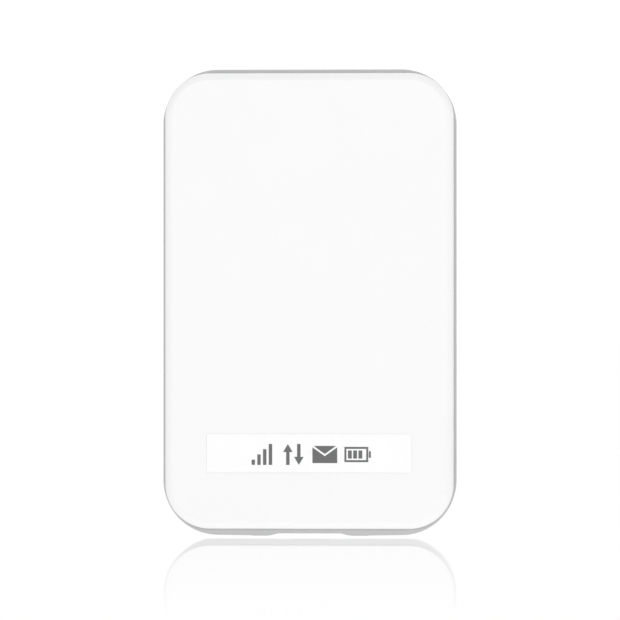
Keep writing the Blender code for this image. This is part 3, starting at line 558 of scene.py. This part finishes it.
def make_front_cover():
    """The white front: a flat face, a rolled edge, and the tongue and bosses behind it."""
    break_angle, width, depth = 16.0, 1.5, 1.3
    start_sine, start_cosine = quarter(1, break_angle)[0]
    reach, drop = width / (1 - start_sine), depth / start_cosine
    rings = [case_ring(FRONT_EDGE, 4.0, FRONT_Y), case_ring(FRONT_EDGE, width + 0.05, FRONT_Y)]
    rings += [
        case_ring(FRONT_EDGE, reach * (1 - sine), FRONT_Y + depth - drop * cosine)
        for sine, cosine in quarter(EDGE_STEPS, break_angle)
    ]
    seam = FRONT_SEAM_Y[0]
    tongue_out, tongue_in, tongue_y, inner_radius = 0.75, 1.4, -3.8, 0.3
    rings += seam_edge(FRONT_EDGE, seam, -1)
    rings += tongue_rings(FRONT_EDGE, tongue_out, tongue_in, seam, tongue_y, -1)
    rings += [
        case_ring(FRONT_EDGE, tongue_in, FRONT_INSIDE_Y + inner_radius),
        case_ring(FRONT_EDGE, tongue_in + inner_radius, FRONT_INSIDE_Y),
    ]
    bm = bmesh.new()
    add_loft(bm, rings)
    cover = start_piece("front_cover_shell", bm)

    posts = bmesh.new()
    root_y = FRONT_INSIDE_Y - 0.4
    add_rods(posts, SCREW_SPOTS, 2.0, (root_y, -1.2))
    add_rods(posts, POST_SPOTS, POST_RADIUS, (root_y, BOARD_FRONT_Y - 0.05))
    add_rods(posts, LIGHT_PIN_SPOTS, 0.6, (root_y, -4.2))
    carve(cover, "UNION", posts)
    holes = bmesh.new()
    add_rods(holes, SCREW_SPOTS, 0.8, (-5.2, -0.7))
    add_rods(holes, LAMP_SPOTS, 1.5, (-6.1, FRONT_INSIDE_Y + 0.5))
    gap = 0.02
    pocket = rounded((film_x[0] - gap, film_x[1] + gap), (film_z[0] - gap, film_z[1] + gap), 0.42)
    add_prism(holes, "Y", pocket, (FRONT_Y - 1.0, FRONT_Y + 0.25))
    carve(cover, "DIFFERENCE", holes)
    finish_piece(cover, "root", WHITE, ["front_cover"], 12.0)


def make_frame():
    """The grey ring with its rims, the bay floor, its ribs and every opening."""
    flat_front, flat_rear = FLAT_Y
    swell = [
        (blend(FRONT_EDGE, FRAME_EDGE, sine), flat_front + (FRONT_SEAM_Y[1] - flat_front) * cosine)
        for sine, cosine in quarter(EDGE_STEPS)
    ]
    shrink = [
        (blend(REAR_EDGE, FRAME_EDGE, sine), flat_rear + (REAR_SEAM_Y[0] - flat_rear) * cosine)
        for sine, cosine in reversed(quarter(EDGE_STEPS))
    ]
    front_bore, rebate, rear_lip, wall, edge = 0.95, 0.55, 0.7, 1.6, 0.08
    front_rim, rear_rim = FRONT_SEAM_Y[1], REAR_SEAM_Y[0]
    front_ledge, rear_ledge, inner_radius = -3.6, 3.2, 0.3
    rings = [
        case_ring(FRONT_EDGE, front_bore, FLOOR_Y[0]),
        case_ring(FRONT_EDGE, front_bore, front_ledge),
        case_ring(FRONT_EDGE, rebate, front_ledge),
        case_ring(FRONT_EDGE, rebate, front_rim + edge),
        case_ring(FRONT_EDGE, rebate - edge, front_rim),
        case_ring(FRONT_EDGE, edge, front_rim),
    ]
    rings += [case_ring(outline, 0.0, y) for outline, y in swell[1:]]
    rings += [case_ring(FRAME_EDGE, 0.0, 0.0)]
    rings += [case_ring(outline, 0.0, y) for outline, y in shrink[:-1]]
    rings += [
        case_ring(REAR_EDGE, edge, rear_rim),
        case_ring(REAR_EDGE, rear_lip - edge, rear_rim),
        case_ring(REAR_EDGE, rear_lip, rear_rim - edge),
        case_ring(REAR_EDGE, rear_lip, rear_ledge),
        case_ring(FRAME_BORE, wall, rear_ledge),
        case_ring(FRAME_BORE, wall, FLOOR_Y[1] + inner_radius),
        case_ring(FRAME_BORE, wall + inner_radius, FLOOR_Y[1]),
    ]
    bm = bmesh.new()
    add_loft(bm, rings)
    shell = start_piece("frame_shell", bm)

    ribs = bmesh.new()
    rib_y, rib_edge = (FLOOR_Y[1] - 0.4, 3.0), 0.15
    for side in (-1, 1):
        for z in SIDE_RIB_Z:
            add_block(ribs, on_side(side, SIDE_RIB_REACH), rib_y, z, rib_edge)
        add_block(ribs, on_side(side, LOW_RIB_REACH), rib_y, LOW_RIB_Z, rib_edge)
    add_block(ribs, TOP_RIB_X, rib_y, TOP_RIB_Z, rib_edge)
    add_rods(ribs, POST_SPOTS, POST_RADIUS, (-2.55, FLOOR_Y[0] + 0.4))
    carve(shell, "UNION", ribs)

    openings = bmesh.new()
    socket_x = (usb_x[0] - SOCKET_GAP_X, usb_x[1] + SOCKET_GAP_X)
    socket_y = (usb_y[0] - SOCKET_GAP_Y, usb_y[1] + SOCKET_GAP_Y)
    add_flared(openings, socket_x, socket_y, 0.9, SOCKET_FLARE)
    key_hole_x = (KEY_CAP_X[0] - KEY_GAP, KEY_CAP_X[1] + KEY_GAP)
    key_hole_y = (KEY_CAP_Y[0] - KEY_GAP, KEY_CAP_Y[1] + KEY_GAP)
    add_flared(openings, key_hole_x, key_hole_y, 1.0, KEY_FLARE)
    carve(shell, "DIFFERENCE", openings)

    cuts = bmesh.new()
    floor = (FLOOR_Y[0] - 0.5, FLOOR_Y[1] + 0.5)
    gap = 0.1
    foot_reach = (foot_x[0] - gap, foot_x[1] + gap)
    for side in (-1, 1):
        foot_bed = (foot_y[0] - gap, foot_y[1] + gap), (-1.0, foot_z[1] + gap / 2)
        add_block(cuts, on_side(side, foot_reach), *foot_bed)
    add_block(cuts, *SWITCH_BAY)
    add_prism(cuts, "Y", rounded(*SIM_WINDOW, 0.8), floor)
    add_prism(cuts, "Y", rounded(*CONNECTOR_WINDOW, 0.3), floor)
    half_x, half_z = CLIP_WINDOW_HALF
    for x, z in CLIP_SPOTS:
        add_block(cuts, (x - half_x, x + half_x), floor, (z - half_z, z + half_z))
    add_rods(cuts, SCREW_SPOTS, 0.9, floor)
    add_rods(cuts, [RESET_SPOT], 1.0, floor)
    groove = (1.7, rear_rim + 0.9)
    half = HOOK_HALF + GROOVE_GAP
    for side, z in HOOK_SPOTS:
        add_block(cuts, on_side(side, GROOVE_REACH), groove, (z - half, z + half))
    add_block(cuts, (TOP_HOOK_X - half, TOP_HOOK_X + half), groove, TOP_GROOVE_Z)
    carve(shell, "DIFFERENCE", cuts)
    finish_piece(shell, "root", GREY, ["mid_frame"], 25.0)


def make_rear_cover():
    """The white back with its rolled edge, tongue, hooks and fingernail notch."""
    width, depth = 2.4, 2.2
    rings = [case_ring(REAR_EDGE, 6.0, REAR_Y), case_ring(REAR_EDGE, width + 0.1, REAR_Y)]
    rings += [
        case_ring(REAR_EDGE, width * (1 - sine), REAR_Y - depth * (1 - cosine))
        for sine, cosine in quarter(12)
    ]
    seam = REAR_SEAM_Y[1]
    tongue_out, tongue_in, tongue_y, inner_radius = 0.9, 1.5, 3.4, 0.4
    rings += seam_edge(REAR_EDGE, seam, 1)
    rings += tongue_rings(REAR_EDGE, tongue_out, tongue_in, seam, tongue_y, 1)
    rings += [
        case_ring(REAR_EDGE, tongue_in, REAR_INSIDE_Y - inner_radius),
        case_ring(REAR_EDGE, tongue_in + inner_radius, REAR_INSIDE_Y),
    ]
    bm = bmesh.new()
    add_loft(bm, rings)
    cover = start_piece("rear_cover_shell", bm)

    hooks = bmesh.new()
    hook_y, hook_edge = (2.0, tongue_y + 0.5), 0.12
    for side, z in HOOK_SPOTS:
        height = (z - HOOK_HALF, z + HOOK_HALF)
        add_block(hooks, on_side(side, HOOK_REACH), hook_y, height, hook_edge)
    top_x = (TOP_HOOK_X - HOOK_HALF, TOP_HOOK_X + HOOK_HALF)
    add_block(hooks, top_x, hook_y, TOP_HOOK_Z, hook_edge)
    carve(cover, "UNION", hooks)
    notch = bmesh.new()
    notch_x, notch_z = NAIL_NOTCH
    add_block(notch, notch_x, (seam - 0.05, 4.9), notch_z, 0.3)
    add_prism(notch, "Y", NOTCH_ARROW, (REAR_Y - 0.12, REAR_Y + 1.0))
    carve(cover, "DIFFERENCE", notch)
    finish_piece(cover, "back", BACK_WHITE, ["rear_cover"], 12.0)


def make_film():
    """The hard-coated strip over the lights, a hair below the front face."""
    bm = bmesh.new()
    sunk = 0.02
    add_prism(bm, "Y", rounded(film_x, film_z, 0.4), (FRONT_Y + sunk, film_y[1]), 0.02)
    whole_piece("film_strip", bm, "root", FILM, ["indicator_film"])


def make_feet():
    """The two thin soles that the device stands on."""
    for side, end in ((-1, "left"), (1, "right")):
        bm = bmesh.new()
        add_prism(bm, "Z", rounded(on_side(side, foot_x), foot_y, 0.5), foot_z, 0.15)
        whole_piece(f"foot_sole_{end}", bm, "root", FOOT, [f"foot_pad_{end}"])


# ---- Printed marks ----


def arc_points(centre, radius, start, end, steps):
    turns = [math.radians(start + (end - start) * i / steps) for i in range(steps + 1)]
    return [(centre[0] + radius * math.cos(turn), centre[1] + radius * math.sin(turn)) for turn in turns]


def bars_mark(x, z):
    """Four rising bars for the signal."""
    width, pitch, height, half = 0.72, 1.2, 4.4, 2.16
    for i in range(4):
        left = x - half + pitch * i
        top = z - height / 2 + height * (i + 1) / 4
        yield rounded((left, left + width), (z - height / 2, top), 0.08, 3)


def arrows_mark(x, z):
    """One arrow up and one down for the data."""
    apart, reach, head, shaft = 1.15, 2.2, 1.0, 0.36
    for side, way in ((-1, 1), (1, -1)):
        middle = x + side * apart
        tip, tail, neck = z + way * reach, z - way * reach, z + way * 0.5
        yield [
            (middle, tip), (middle - head, neck), (middle - shaft, neck), (middle - shaft, tail),
            (middle + shaft, tail), (middle + shaft, neck), (middle + head, neck),
        ]


def envelope_mark(x, z):
    """An envelope for messages, in two parts with a clear fold line."""
    half, low, high, fold, dip, inset = 2.6, z - 1.8, z + 1.8, 0.3, z + 0.1, 0.25
    yield [(x - half + inset, high), (x + half - inset, high), (x, dip)]
    yield [
        (x - half, high - fold), (x, dip - fold * 1.5), (x + half, high - fold),
        (x + half, low), (x - half, low),
    ]


def battery_mark(x, z):
    """A battery outline with its charge inside."""
    half_x, half_z, line, gap = 2.5, 1.6, 0.42, 0.02
    left, right, low, high = x - half_x, x + half_x, z - half_z, z + half_z
    between = (low + line + gap, high - line - gap)
    yield rounded((left, right), (low, low + line), 0.02, 2)
    yield rounded((left, right), (high - line, high), 0.02, 2)
    yield rounded((left, left + line), between, 0.02, 2)
    yield rounded((right - line, right), between, 0.02, 2)
    yield rounded((right + 0.12, right + 0.55), (z - 0.7, z + 0.7), 0.1, 3)
    inset, pitch, width = 0.75, 1.1, 0.8
    for i in range(3):
        start = left + inset + pitch * i
        yield rounded((start, start + width), (low + inset, high - inset), 0.05, 3)


def make_prints():
    """The status marks on the film, one over each lamp."""
    bm = bmesh.new()
    y = (FRONT_Y, FRONT_Y + 0.03)
    for mark, (x, z) in zip((bars_mark, arrows_mark, envelope_mark, battery_mark), LAMP_SPOTS):
        for outline in mark(x, z):
            add_prism(bm, "Y", outline, y)
    whole_piece("status_marks", bm, "root", PRINT)


def power_symbol(x, y):
    """A broken ring with a bar through its gap."""
    radius, line = 0.62, 0.17
    ring = arc_points((x, y), radius, -240, 60, 24)
    return stroke(ring, line), stroke([(x, y + 0.12), (x, y + 0.85)], line)


# ---- Keys, sockets and screws ----


def make_power_key():
    """The key: a slightly crowned cap with a printed symbol, its flange and its stem."""
    middle, top = sum(KEY_CAP_X) / 2, key_z[1]
    bm = bmesh.new()
    add_prism(bm, "Z", rounded(KEY_CAP_X, KEY_CAP_Y, 0.8), (KEY_CAP_BASE, top), 0.22)
    key = start_piece("power_key_cap", bm)
    flange = bmesh.new()
    add_block(flange, key_x, key_y, KEY_FLANGE_Z, 0.1)
    carve(key, "UNION", flange)
    stem = bmesh.new()
    stem_x = (middle - KEY_STEM_HALF, middle + KEY_STEM_HALF)
    add_block(stem, stem_x, KEY_STEM_Y, (key_z[0], KEY_STEM_TOP), 0.08)
    carve(key, "UNION", stem)
    finish_piece(key, "power_key", GREY, ["power_button"])
    mark = bmesh.new()
    for outline in power_symbol(middle, -0.2):
        add_prism(mark, "Z", outline, (top - 0.01, top + 0.012))
    whole_piece("power_key_mark", mark, "power_key", PRINT)


def make_screws():
    """Pan-headed screws with ridged shanks and a tapered cross recess."""
    head, head_height, crown, shank, tip = 1.3, 0.7, 0.35, 0.7, 0.35
    ridges, pitch, groove = 15, 0.25, 0.12
    for name, (x, z) in zip(SCREWS, SCREW_SPOTS):
        _, (end_y, top_y), _ = node_box(name)
        under = top_y - head_height
        profile = [(tip, end_y), (shank, end_y + tip)]
        for i in range(ridges):
            at = end_y + 0.4 + pitch * i
            profile += [(shank - groove, at), (shank, at + pitch / 2)]
        profile += [(shank, under), (head - 0.05, under), (head, under + 0.05)]
        dome = [(head * sine, top_y - crown + crown * cosine) for sine, cosine in quarter(6)]
        profile += dome[:0:-1]
        bm = bmesh.new()
        rings = [[Vector((x + u, y, z + v)) for u, v in circle(radius)] for radius, y in profile]
        add_loft(bm, rings)
        screw = start_piece(f"screw_{name[-1]}", bm)
        recess = bmesh.new()
        deep = [(x + u, z + v) for u, v in cross_points(0.42, 0.1)]
        wide = [(x + u, z + v) for u, v in cross_points(0.78, 0.17)]
        mouth_y = top_y + 0.02
        stations = ((deep, top_y - 0.38), (wide, mouth_y), (wide, mouth_y + 0.5))
        add_loft(recess, [[Vector((u, y, v)) for u, v in ring] for ring, y in stations])
        carve(screw, "DIFFERENCE", recess)
        finish_piece(screw, "root", STEEL, [name], 40.0)


def make_usb():
    """A micro-B receptacle with its two cut corners, the blade and its five contacts."""
    cut, wall, fit, flare = 1.0, 0.28, 0.06, 0.12

    def mouth(inset):
        x, y = (usb_x[0] + inset, usb_x[1] - inset), (usb_y[0] + inset, usb_y[1] - inset)
        slope = cut + inset * (math.sqrt(2) - 2)
        return [
            (x[0] + slope, y[1]), (x[0], y[1] - slope), (x[0], y[0] + 0.3), (x[0] + 0.3, y[0]),
            (x[1] - 0.3, y[0]), (x[1], y[0] + 0.3), (x[1], y[1] - slope), (x[1] - slope, y[1]),
        ]

    bm = bmesh.new()
    add_prism(bm, "Z", mouth(0.0), usb_z, 0.06)
    shell = start_piece("usb_can", bm)
    hollow = bmesh.new()
    low, high = usb_z
    stations = ((wall - flare, low - 1.0), (wall - flare, low), (wall, low + 0.3), (wall, high - 0.3))
    add_loft(hollow, [[Vector((u, v, z)) for u, v in mouth(inset)] for inset, z in stations])
    carve(shell, "DIFFERENCE", hollow)
    finish_piece(shell, "root", STEEL, ["usb_shell"], 40.0)

    blade = bmesh.new()
    add_prism(blade, "Z", mouth(wall + fit), (4.6, high - wall - 0.08), 0.04)
    body = start_piece("usb_blade", blade)
    tongue = bmesh.new()
    add_block(tongue, (-1.9, 1.9), (-1.35, -0.75), (1.6, 5.0), 0.1)
    carve(body, "UNION", tongue)
    finish_piece(body, "root", BLACK, ["usb_tongue"])
    pins = bmesh.new()
    pitch, half = 0.65, 0.15
    for i in range(-2, 3):
        x = (i * pitch - half, i * pitch + half)
        add_block(pins, x, (-1.4, -1.3), (1.95, 4.55), 0.03, 1)
    whole_piece("usb_pins", pins, "root", GOLD)


# ---- SIM holder ----


def make_sim():
    """The metal cage with its window, spring fingers and finger grip, and the card."""
    thick, lip = 0.22, 0.4
    inner_y = sim_y[1] - thick
    bm = bmesh.new()
    add_prism(bm, "X", rounded(sim_y, sim_z, 0.3, 5), sim_x, 0.05)
    cage = start_piece("sim_cage", bm)
    hollow = bmesh.new()
    along, up = (sim_x[0] - 1.0, sim_x[1] + 1.0), (sim_z[0] + lip, sim_z[1] - lip)
    add_block(hollow, along, (sim_y[0] - 1.0, inner_y), up, 0.12)
    carve(cage, "DIFFERENCE", hollow)
    cuts = bmesh.new()
    through = (inner_y - 0.6, sim_y[1] + 0.6)
    add_prism(cuts, "Y", rounded((-16.5, -9.5), (10.6, 17.4), 0.8), through)
    root, tip, half = -15.5, -11.0, 0.45
    for z in (9.0, 19.0):
        slot = [(root, z - half), (tip, z - half), (tip, z + half), (root, z + half)]
        add_prism(cuts, "Y", stroke(slot, thick), through)
    grip = arc_points((0.0, 0.0), 1.6, 90, 270, 24)
    mouth = [(sim_x[1] + u, sum(sim_z) / 2 + v * 2) for u, v in grip]
    mouth += [(sim_x[1] + 1.0, mouth[-1][1]), (sim_x[1] + 1.0, mouth[0][1])]
    add_prism(cuts, "Y", mouth, through)
    carve(cage, "DIFFERENCE", cuts)
    finish_piece(cage, "root", TIN, ["sim_shell"], 40.0)

    card_x, card_y, card_z = node_box("sim_card")
    clipped, radius = 2.2, 0.8
    outline = arc_points((card_x[0] + radius, card_z[0] + radius), radius, 180, 270, 6)
    outline += [(card_x[1] - clipped, card_z[0]), (card_x[1], card_z[0] + clipped)]
    outline += arc_points((card_x[1] - radius, card_z[1] - radius), radius, 0, 90, 6)
    outline += arc_points((card_x[0] + radius, card_z[1] - radius), radius, 90, 180, 6)
    card = bmesh.new()
    add_prism(card, "Y", outline, card_y, 0.05)
    whole_piece("sim_card_body", card, "sim_tray_card", CARD, ["sim_card"])


# ---- Antennas ----


def meander(x, z, pitch, margin):
    """A track that runs to and fro over the ranges, ending at the right."""
    levels = (z[0] + margin, z[1] - margin)
    across, level = x[0] + margin, 0
    points = [(across, levels[level])]
    while across + pitch <= x[1] - margin:
        level = 1 - level
        points.append((across, levels[level]))
        across += pitch
        points.append((across, levels[level]))
    return points


def make_antennas():
    """The copper tracks that show through each flexible antenna's black film."""
    for name, pitch in (("main_antenna", 1.7), ("diversity_antenna", 1.3), ("wifi_antenna", 1.3)):
        x, (_, skin), z = node_box(name)
        bm = bmesh.new()
        add_prism(bm, "Y", stroke(meander(x, z, pitch, 0.7), 0.55), (skin - 0.01, skin + 0.02))
        whole_piece(f"{name}_track", bm, "root", GOLD)


# ---- Battery ----


def make_battery():
    """The wrapped cell with its rounded long edges, the end cap and the marks on the wrap."""
    radius = 1.6
    bm = bmesh.new()
    add_prism(bm, "Z", rounded(cell_x, cell_y, radius, 10), cell_z, 0.35)
    whole_piece("pack_wrap", bm, "battery", WRAP, ["battery_cell"])
    cap = bmesh.new()
    add_prism(cap, "Z", rounded(cap_x, cap_y, radius, 10), cap_z, 0.25)
    end = start_piece("pack_end", cap)
    pockets = bmesh.new()
    pocket_y, pocket_z, half = (0.8, 4.0), (cap_z[0] - 1.0, cap_z[0] + 0.3), 1.1
    for x, _ in CONTACT_SPOTS:
        add_block(pockets, (x - half, x + half), pocket_y, pocket_z, 0.1)
    carve(end, "DIFFERENCE", pockets)
    finish_piece(end, "battery", BLACK, ["battery_cap"])

    marks = bmesh.new()
    rear = cell_y[1]
    skin = (rear - 0.01, rear + 0.015)
    plus, minus = CONTACT_SPOTS[0][0], CONTACT_SPOTS[-1][0]
    sign_z, reach, half = cell_z[0] + 1.6, 0.8, 0.17
    add_prism(marks, "Y", [(plus + u, sign_z + v) for u, v in cross_points(reach, half)], skin)
    dash = rounded((minus - reach, minus + reach), (sign_z - half, sign_z + half), 0.05)
    add_prism(marks, "Y", dash, skin)
    neck, tip, tail, head, shaft = cell_z[1] - 8.0, 3.2, 3.0, 2.4, 0.9
    arrow = [
        (0.0, neck + tip), (-head, neck), (-shaft, neck), (-shaft, neck - tail),
        (shaft, neck - tail), (shaft, neck), (head, neck),
    ]
    add_prism(marks, "Y", arrow, skin)
    whole_piece("pack_marks", marks, "battery", PRINT)


def make_contacts():
    """The battery connector's slotted housing and its three bent leaves."""
    block = bmesh.new()
    add_block(block, *node_box("battery_connector"), 0.25)
    housing = start_piece("contact_block", block)
    slots = bmesh.new()
    half = 0.8
    for middle, _ in CONTACT_SPOTS:
        add_block(slots, (middle - half, middle + half), (0.5, 2.9), (24.2, 27.0), 0.08)
    carve(housing, "DIFFERENCE", slots)
    finish_piece(housing, "root", BLACK, ["battery_connector"])
    bend, thick, foot, middle_y, crown_z = 0.9, 0.2, -1.55, 1.7, 25.85
    outer = arc_points((0.0, 0.0), bend, 0, 180, 24)
    inner = arc_points((0.0, 0.0), bend - thick, 180, 0, 24)
    outline = [(bend, foot), *outer, (-bend, foot), (thick - bend, foot), *inner, (bend - thick, foot)]
    leaf, half = [(middle_y + u, crown_z + v) for u, v in outline], 0.6
    for name, (middle, _) in zip(CONTACTS, CONTACT_SPOTS):
        spring = bmesh.new()
        add_prism(spring, "X", leaf, (middle - half, middle + half))
        whole_piece(f"leaf_{name[-1]}", spring, "root", GOLD, [name])


def make_reset():
    """The round reset pin with its softened end."""
    x, z = RESET_SPOT
    _, (start, end), _ = node_box("reset_plunger")
    radius, edge = 0.7, 0.2
    bm = bmesh.new()
    profile = [(radius, start), (radius, end - edge)]
    dome = [(radius - edge + edge * sine, end - edge + edge * cosine) for sine, cosine in quarter(5)]
    profile += dome[-2::-1]
    add_loft(bm, [[Vector((x + u, y, z + v)) for u, v in circle(wide)] for wide, y in profile])
    whole_piece("reset_pin", bm, "reset_key", CARD, ["reset_plunger"])


# ---- Pieces that keep their CAD shape ----

SLOT_MATERIALS = {
    "light_guide": GUIDE,
    "board": BOARD,
    "chip": CHIP,
    "black_plastic": BLACK,
    "tin": TIN,
    "steel": STEEL,
    "gold": GOLD,
    "card": CARD,
    "flex": FLEX,
    "silicone": SILICONE,
    "foam": FOAM,
    "led": LAMP,
}


def dress_frame_nodes():
    """Gives every CAD node that still shows the finish of its slot."""
    for row in frame["record"]["subparts"]:
        node = frame["nodes"][row["node"]]
        finish = SLOT_MATERIALS.get(row["material_slot"])
        if finish and not node.hide_render:
            for slot in node.material_slots:
                slot.material = finish


# ---- Stage ----

# Brightness of the room: above, for soft light; level and overhead, for reflections; to the eye.
SKY, HORIZON, OVERHEAD, BACKDROP = 0.56, 1.05, 0.97, 1.03
# The floor's share of mirror, where it sets in and where it has faded, in metres from the base.
MIRROR, MIRROR_START, MIRROR_END = 0.43, (0.006, 0.011), 0.26
FLOOR_SIZE, FLOOR_DROP = 6000.0, 0.2
# Name, place, diameter in metres and power in watts.
LIGHTS = (
    ("front", (0.15, -1.5, 0.2), 1.0, 8.3),
    ("rear", (0.6, 1.4, 0.2), 1.0, 4.5),
    ("top", (0.0, 0.5, 1.5), 1.0, 7.5),
)


def add_range(tree, value, start, end, low, high):
    """A node that turns start..end into low..high."""
    node = tree.nodes.new("ShaderNodeMapRange")
    for name, number in zip(("From Min", "From Max", "To Min", "To Max"), (start, end, low, high)):
        node.inputs[name].default_value = number
    tree.links.new(value, node.inputs["Value"])
    return node


def make_floor():
    """A glowing white sheet with a faint mirror image that fades away from the device."""
    bm = bmesh.new()
    bmesh.ops.create_grid(bm, x_segments=1, y_segments=1, size=FLOOR_SIZE)
    bm.transform(Matrix.Translation((0.0, 0.0, -FLOOR_DROP)))
    floor = start_piece("studio_floor", bm)
    material = bpy.data.materials.new("floor_white")
    material.use_nodes = True
    tree = material.node_tree
    tree.nodes.clear()
    out = tree.nodes.new("ShaderNodeOutputMaterial")
    both = tree.nodes.new("ShaderNodeAddShader")
    glow = tree.nodes.new("ShaderNodeEmission")
    gloss = tree.nodes.new("ShaderNodeBsdfGlossy")
    place = tree.nodes.new("ShaderNodeTexCoord")
    footprint = (FRAME_EDGE.half_width * MM, FLAT_Y[1] * MM, 1.0)
    distance = place.outputs["Object"]
    outside = (("ABSOLUTE", None), ("SUBTRACT", footprint), ("MAXIMUM", (0.0, 0.0, 0.0)), ("LENGTH", None))
    for operation, operand in outside:
        step = tree.nodes.new("ShaderNodeVectorMath")
        step.operation = operation
        tree.links.new(distance, step.inputs[0])
        if operand:
            step.inputs[1].default_value = operand
        distance = step.outputs["Value" if operation == "LENGTH" else "Vector"]
    gloss.inputs["Roughness"].default_value = 0.03
    start = add_range(tree, distance, *MIRROR_START, 0.0, MIRROR)
    start.interpolation_type = "SMOOTHSTEP"
    fade = add_range(tree, distance, 0.0, MIRROR_END, 1.0, 0.0)
    share, rest = tree.nodes.new("ShaderNodeMath"), tree.nodes.new("ShaderNodeMath")
    share.operation, rest.operation = "MULTIPLY", "MULTIPLY_ADD"
    tree.links.new(start.outputs["Result"], share.inputs[0])
    tree.links.new(fade.outputs["Result"], share.inputs[1])
    tree.links.new(share.outputs[0], rest.inputs[0])
    rest.inputs[1].default_value = -HORIZON
    rest.inputs[2].default_value = 1.0
    tree.links.new(share.outputs[0], gloss.inputs["Color"])
    tree.links.new(rest.outputs[0], glow.inputs["Strength"])
    tree.links.new(glow.outputs[0], both.inputs[0])
    tree.links.new(gloss.outputs[0], both.inputs[1])
    tree.links.new(both.outputs[0], out.inputs["Surface"])
    floor.data.materials.append(material)
    floor.visible_diffuse = False


def make_light():
    """A white room to the eye, dimmer overhead than below, and three large soft lights."""
    world = bpy.data.worlds.new("studio_room")
    bpy.context.scene.world = world
    world.use_nodes = True
    tree = world.node_tree
    tree.nodes.clear()
    out = tree.nodes.new("ShaderNodeOutputWorld")
    room = tree.nodes.new("ShaderNodeBackground")
    path = tree.nodes.new("ShaderNodeLightPath")
    way = tree.nodes.new("ShaderNodeTexCoord")
    parts = tree.nodes.new("ShaderNodeSeparateXYZ")
    room.inputs["Color"].default_value = (1.0, 1.0, 1.0, 1.0)
    tree.links.new(way.outputs["Generated"], parts.inputs[0])
    soft = add_range(tree, parts.outputs["Z"], -0.15, 0.35, 1.0, SKY)
    sharp = add_range(tree, parts.outputs["Z"], 0.25, 0.9, HORIZON, OVERHEAD)
    glossy, seen = tree.nodes.new("ShaderNodeMix"), tree.nodes.new("ShaderNodeMix")
    tree.links.new(path.outputs["Is Glossy Ray"], glossy.inputs["Factor"])
    tree.links.new(soft.outputs["Result"], glossy.inputs["A"])
    tree.links.new(sharp.outputs["Result"], glossy.inputs["B"])
    tree.links.new(path.outputs["Is Camera Ray"], seen.inputs["Factor"])
    tree.links.new(glossy.outputs["Result"], seen.inputs["A"])
    seen.inputs["B"].default_value = BACKDROP
    tree.links.new(seen.outputs["Result"], room.inputs["Strength"])
    tree.links.new(room.outputs[0], out.inputs["Surface"])
    aim = Vector((0.0, 0.0, 0.049))
    for name, where, size, power in LIGHTS:
        lamp = bpy.data.lights.new(name, "AREA")
        lamp.shape = "DISK"
        lamp.size = size
        lamp.energy = power
        holder = bpy.data.objects.new(name, lamp)
        holder.location = where
        holder.visible_glossy = False
        holder.rotation_euler = (aim - Vector(where)).to_track_quat("-Z", "Y").to_euler()
        bpy.context.scene.collection.objects.link(holder)


def make_camera():
    """A long lens at the height of the device's middle, two degrees round to its right."""
    distance, field, sensor = 1.0, 0.13075, 36.0
    azimuth = math.radians(2.4)
    aim = Vector((-0.00009, 0.0, 0.04746))
    camera = bpy.data.objects.new("camera", bpy.data.cameras.new("camera"))
    camera.data.sensor_width = sensor
    camera.data.lens = sensor * distance / field
    camera.data.clip_start, camera.data.clip_end = 0.05, 20.0
    camera.location = aim + Vector((math.sin(azimuth), -math.cos(azimuth), 0.0)) * distance
    way = aim - camera.location
    camera.rotation_euler = way.to_track_quat("-Z", "Y").to_euler()
    bpy.context.scene.collection.objects.link(camera)
    bpy.context.scene.camera = camera


# ---- Building ----

make_camera()
make_front_cover()
make_frame()
make_rear_cover()
make_film()
make_feet()
make_prints()
make_power_key()
make_screws()
make_usb()
make_sim()
make_antennas()
make_battery()
make_contacts()
make_reset()
dress_frame_nodes()
make_floor()
make_light()
bpy.context.scene.view_settings.view_transform = "Standard"
bpy.context.scene.view_settings.look = "None"
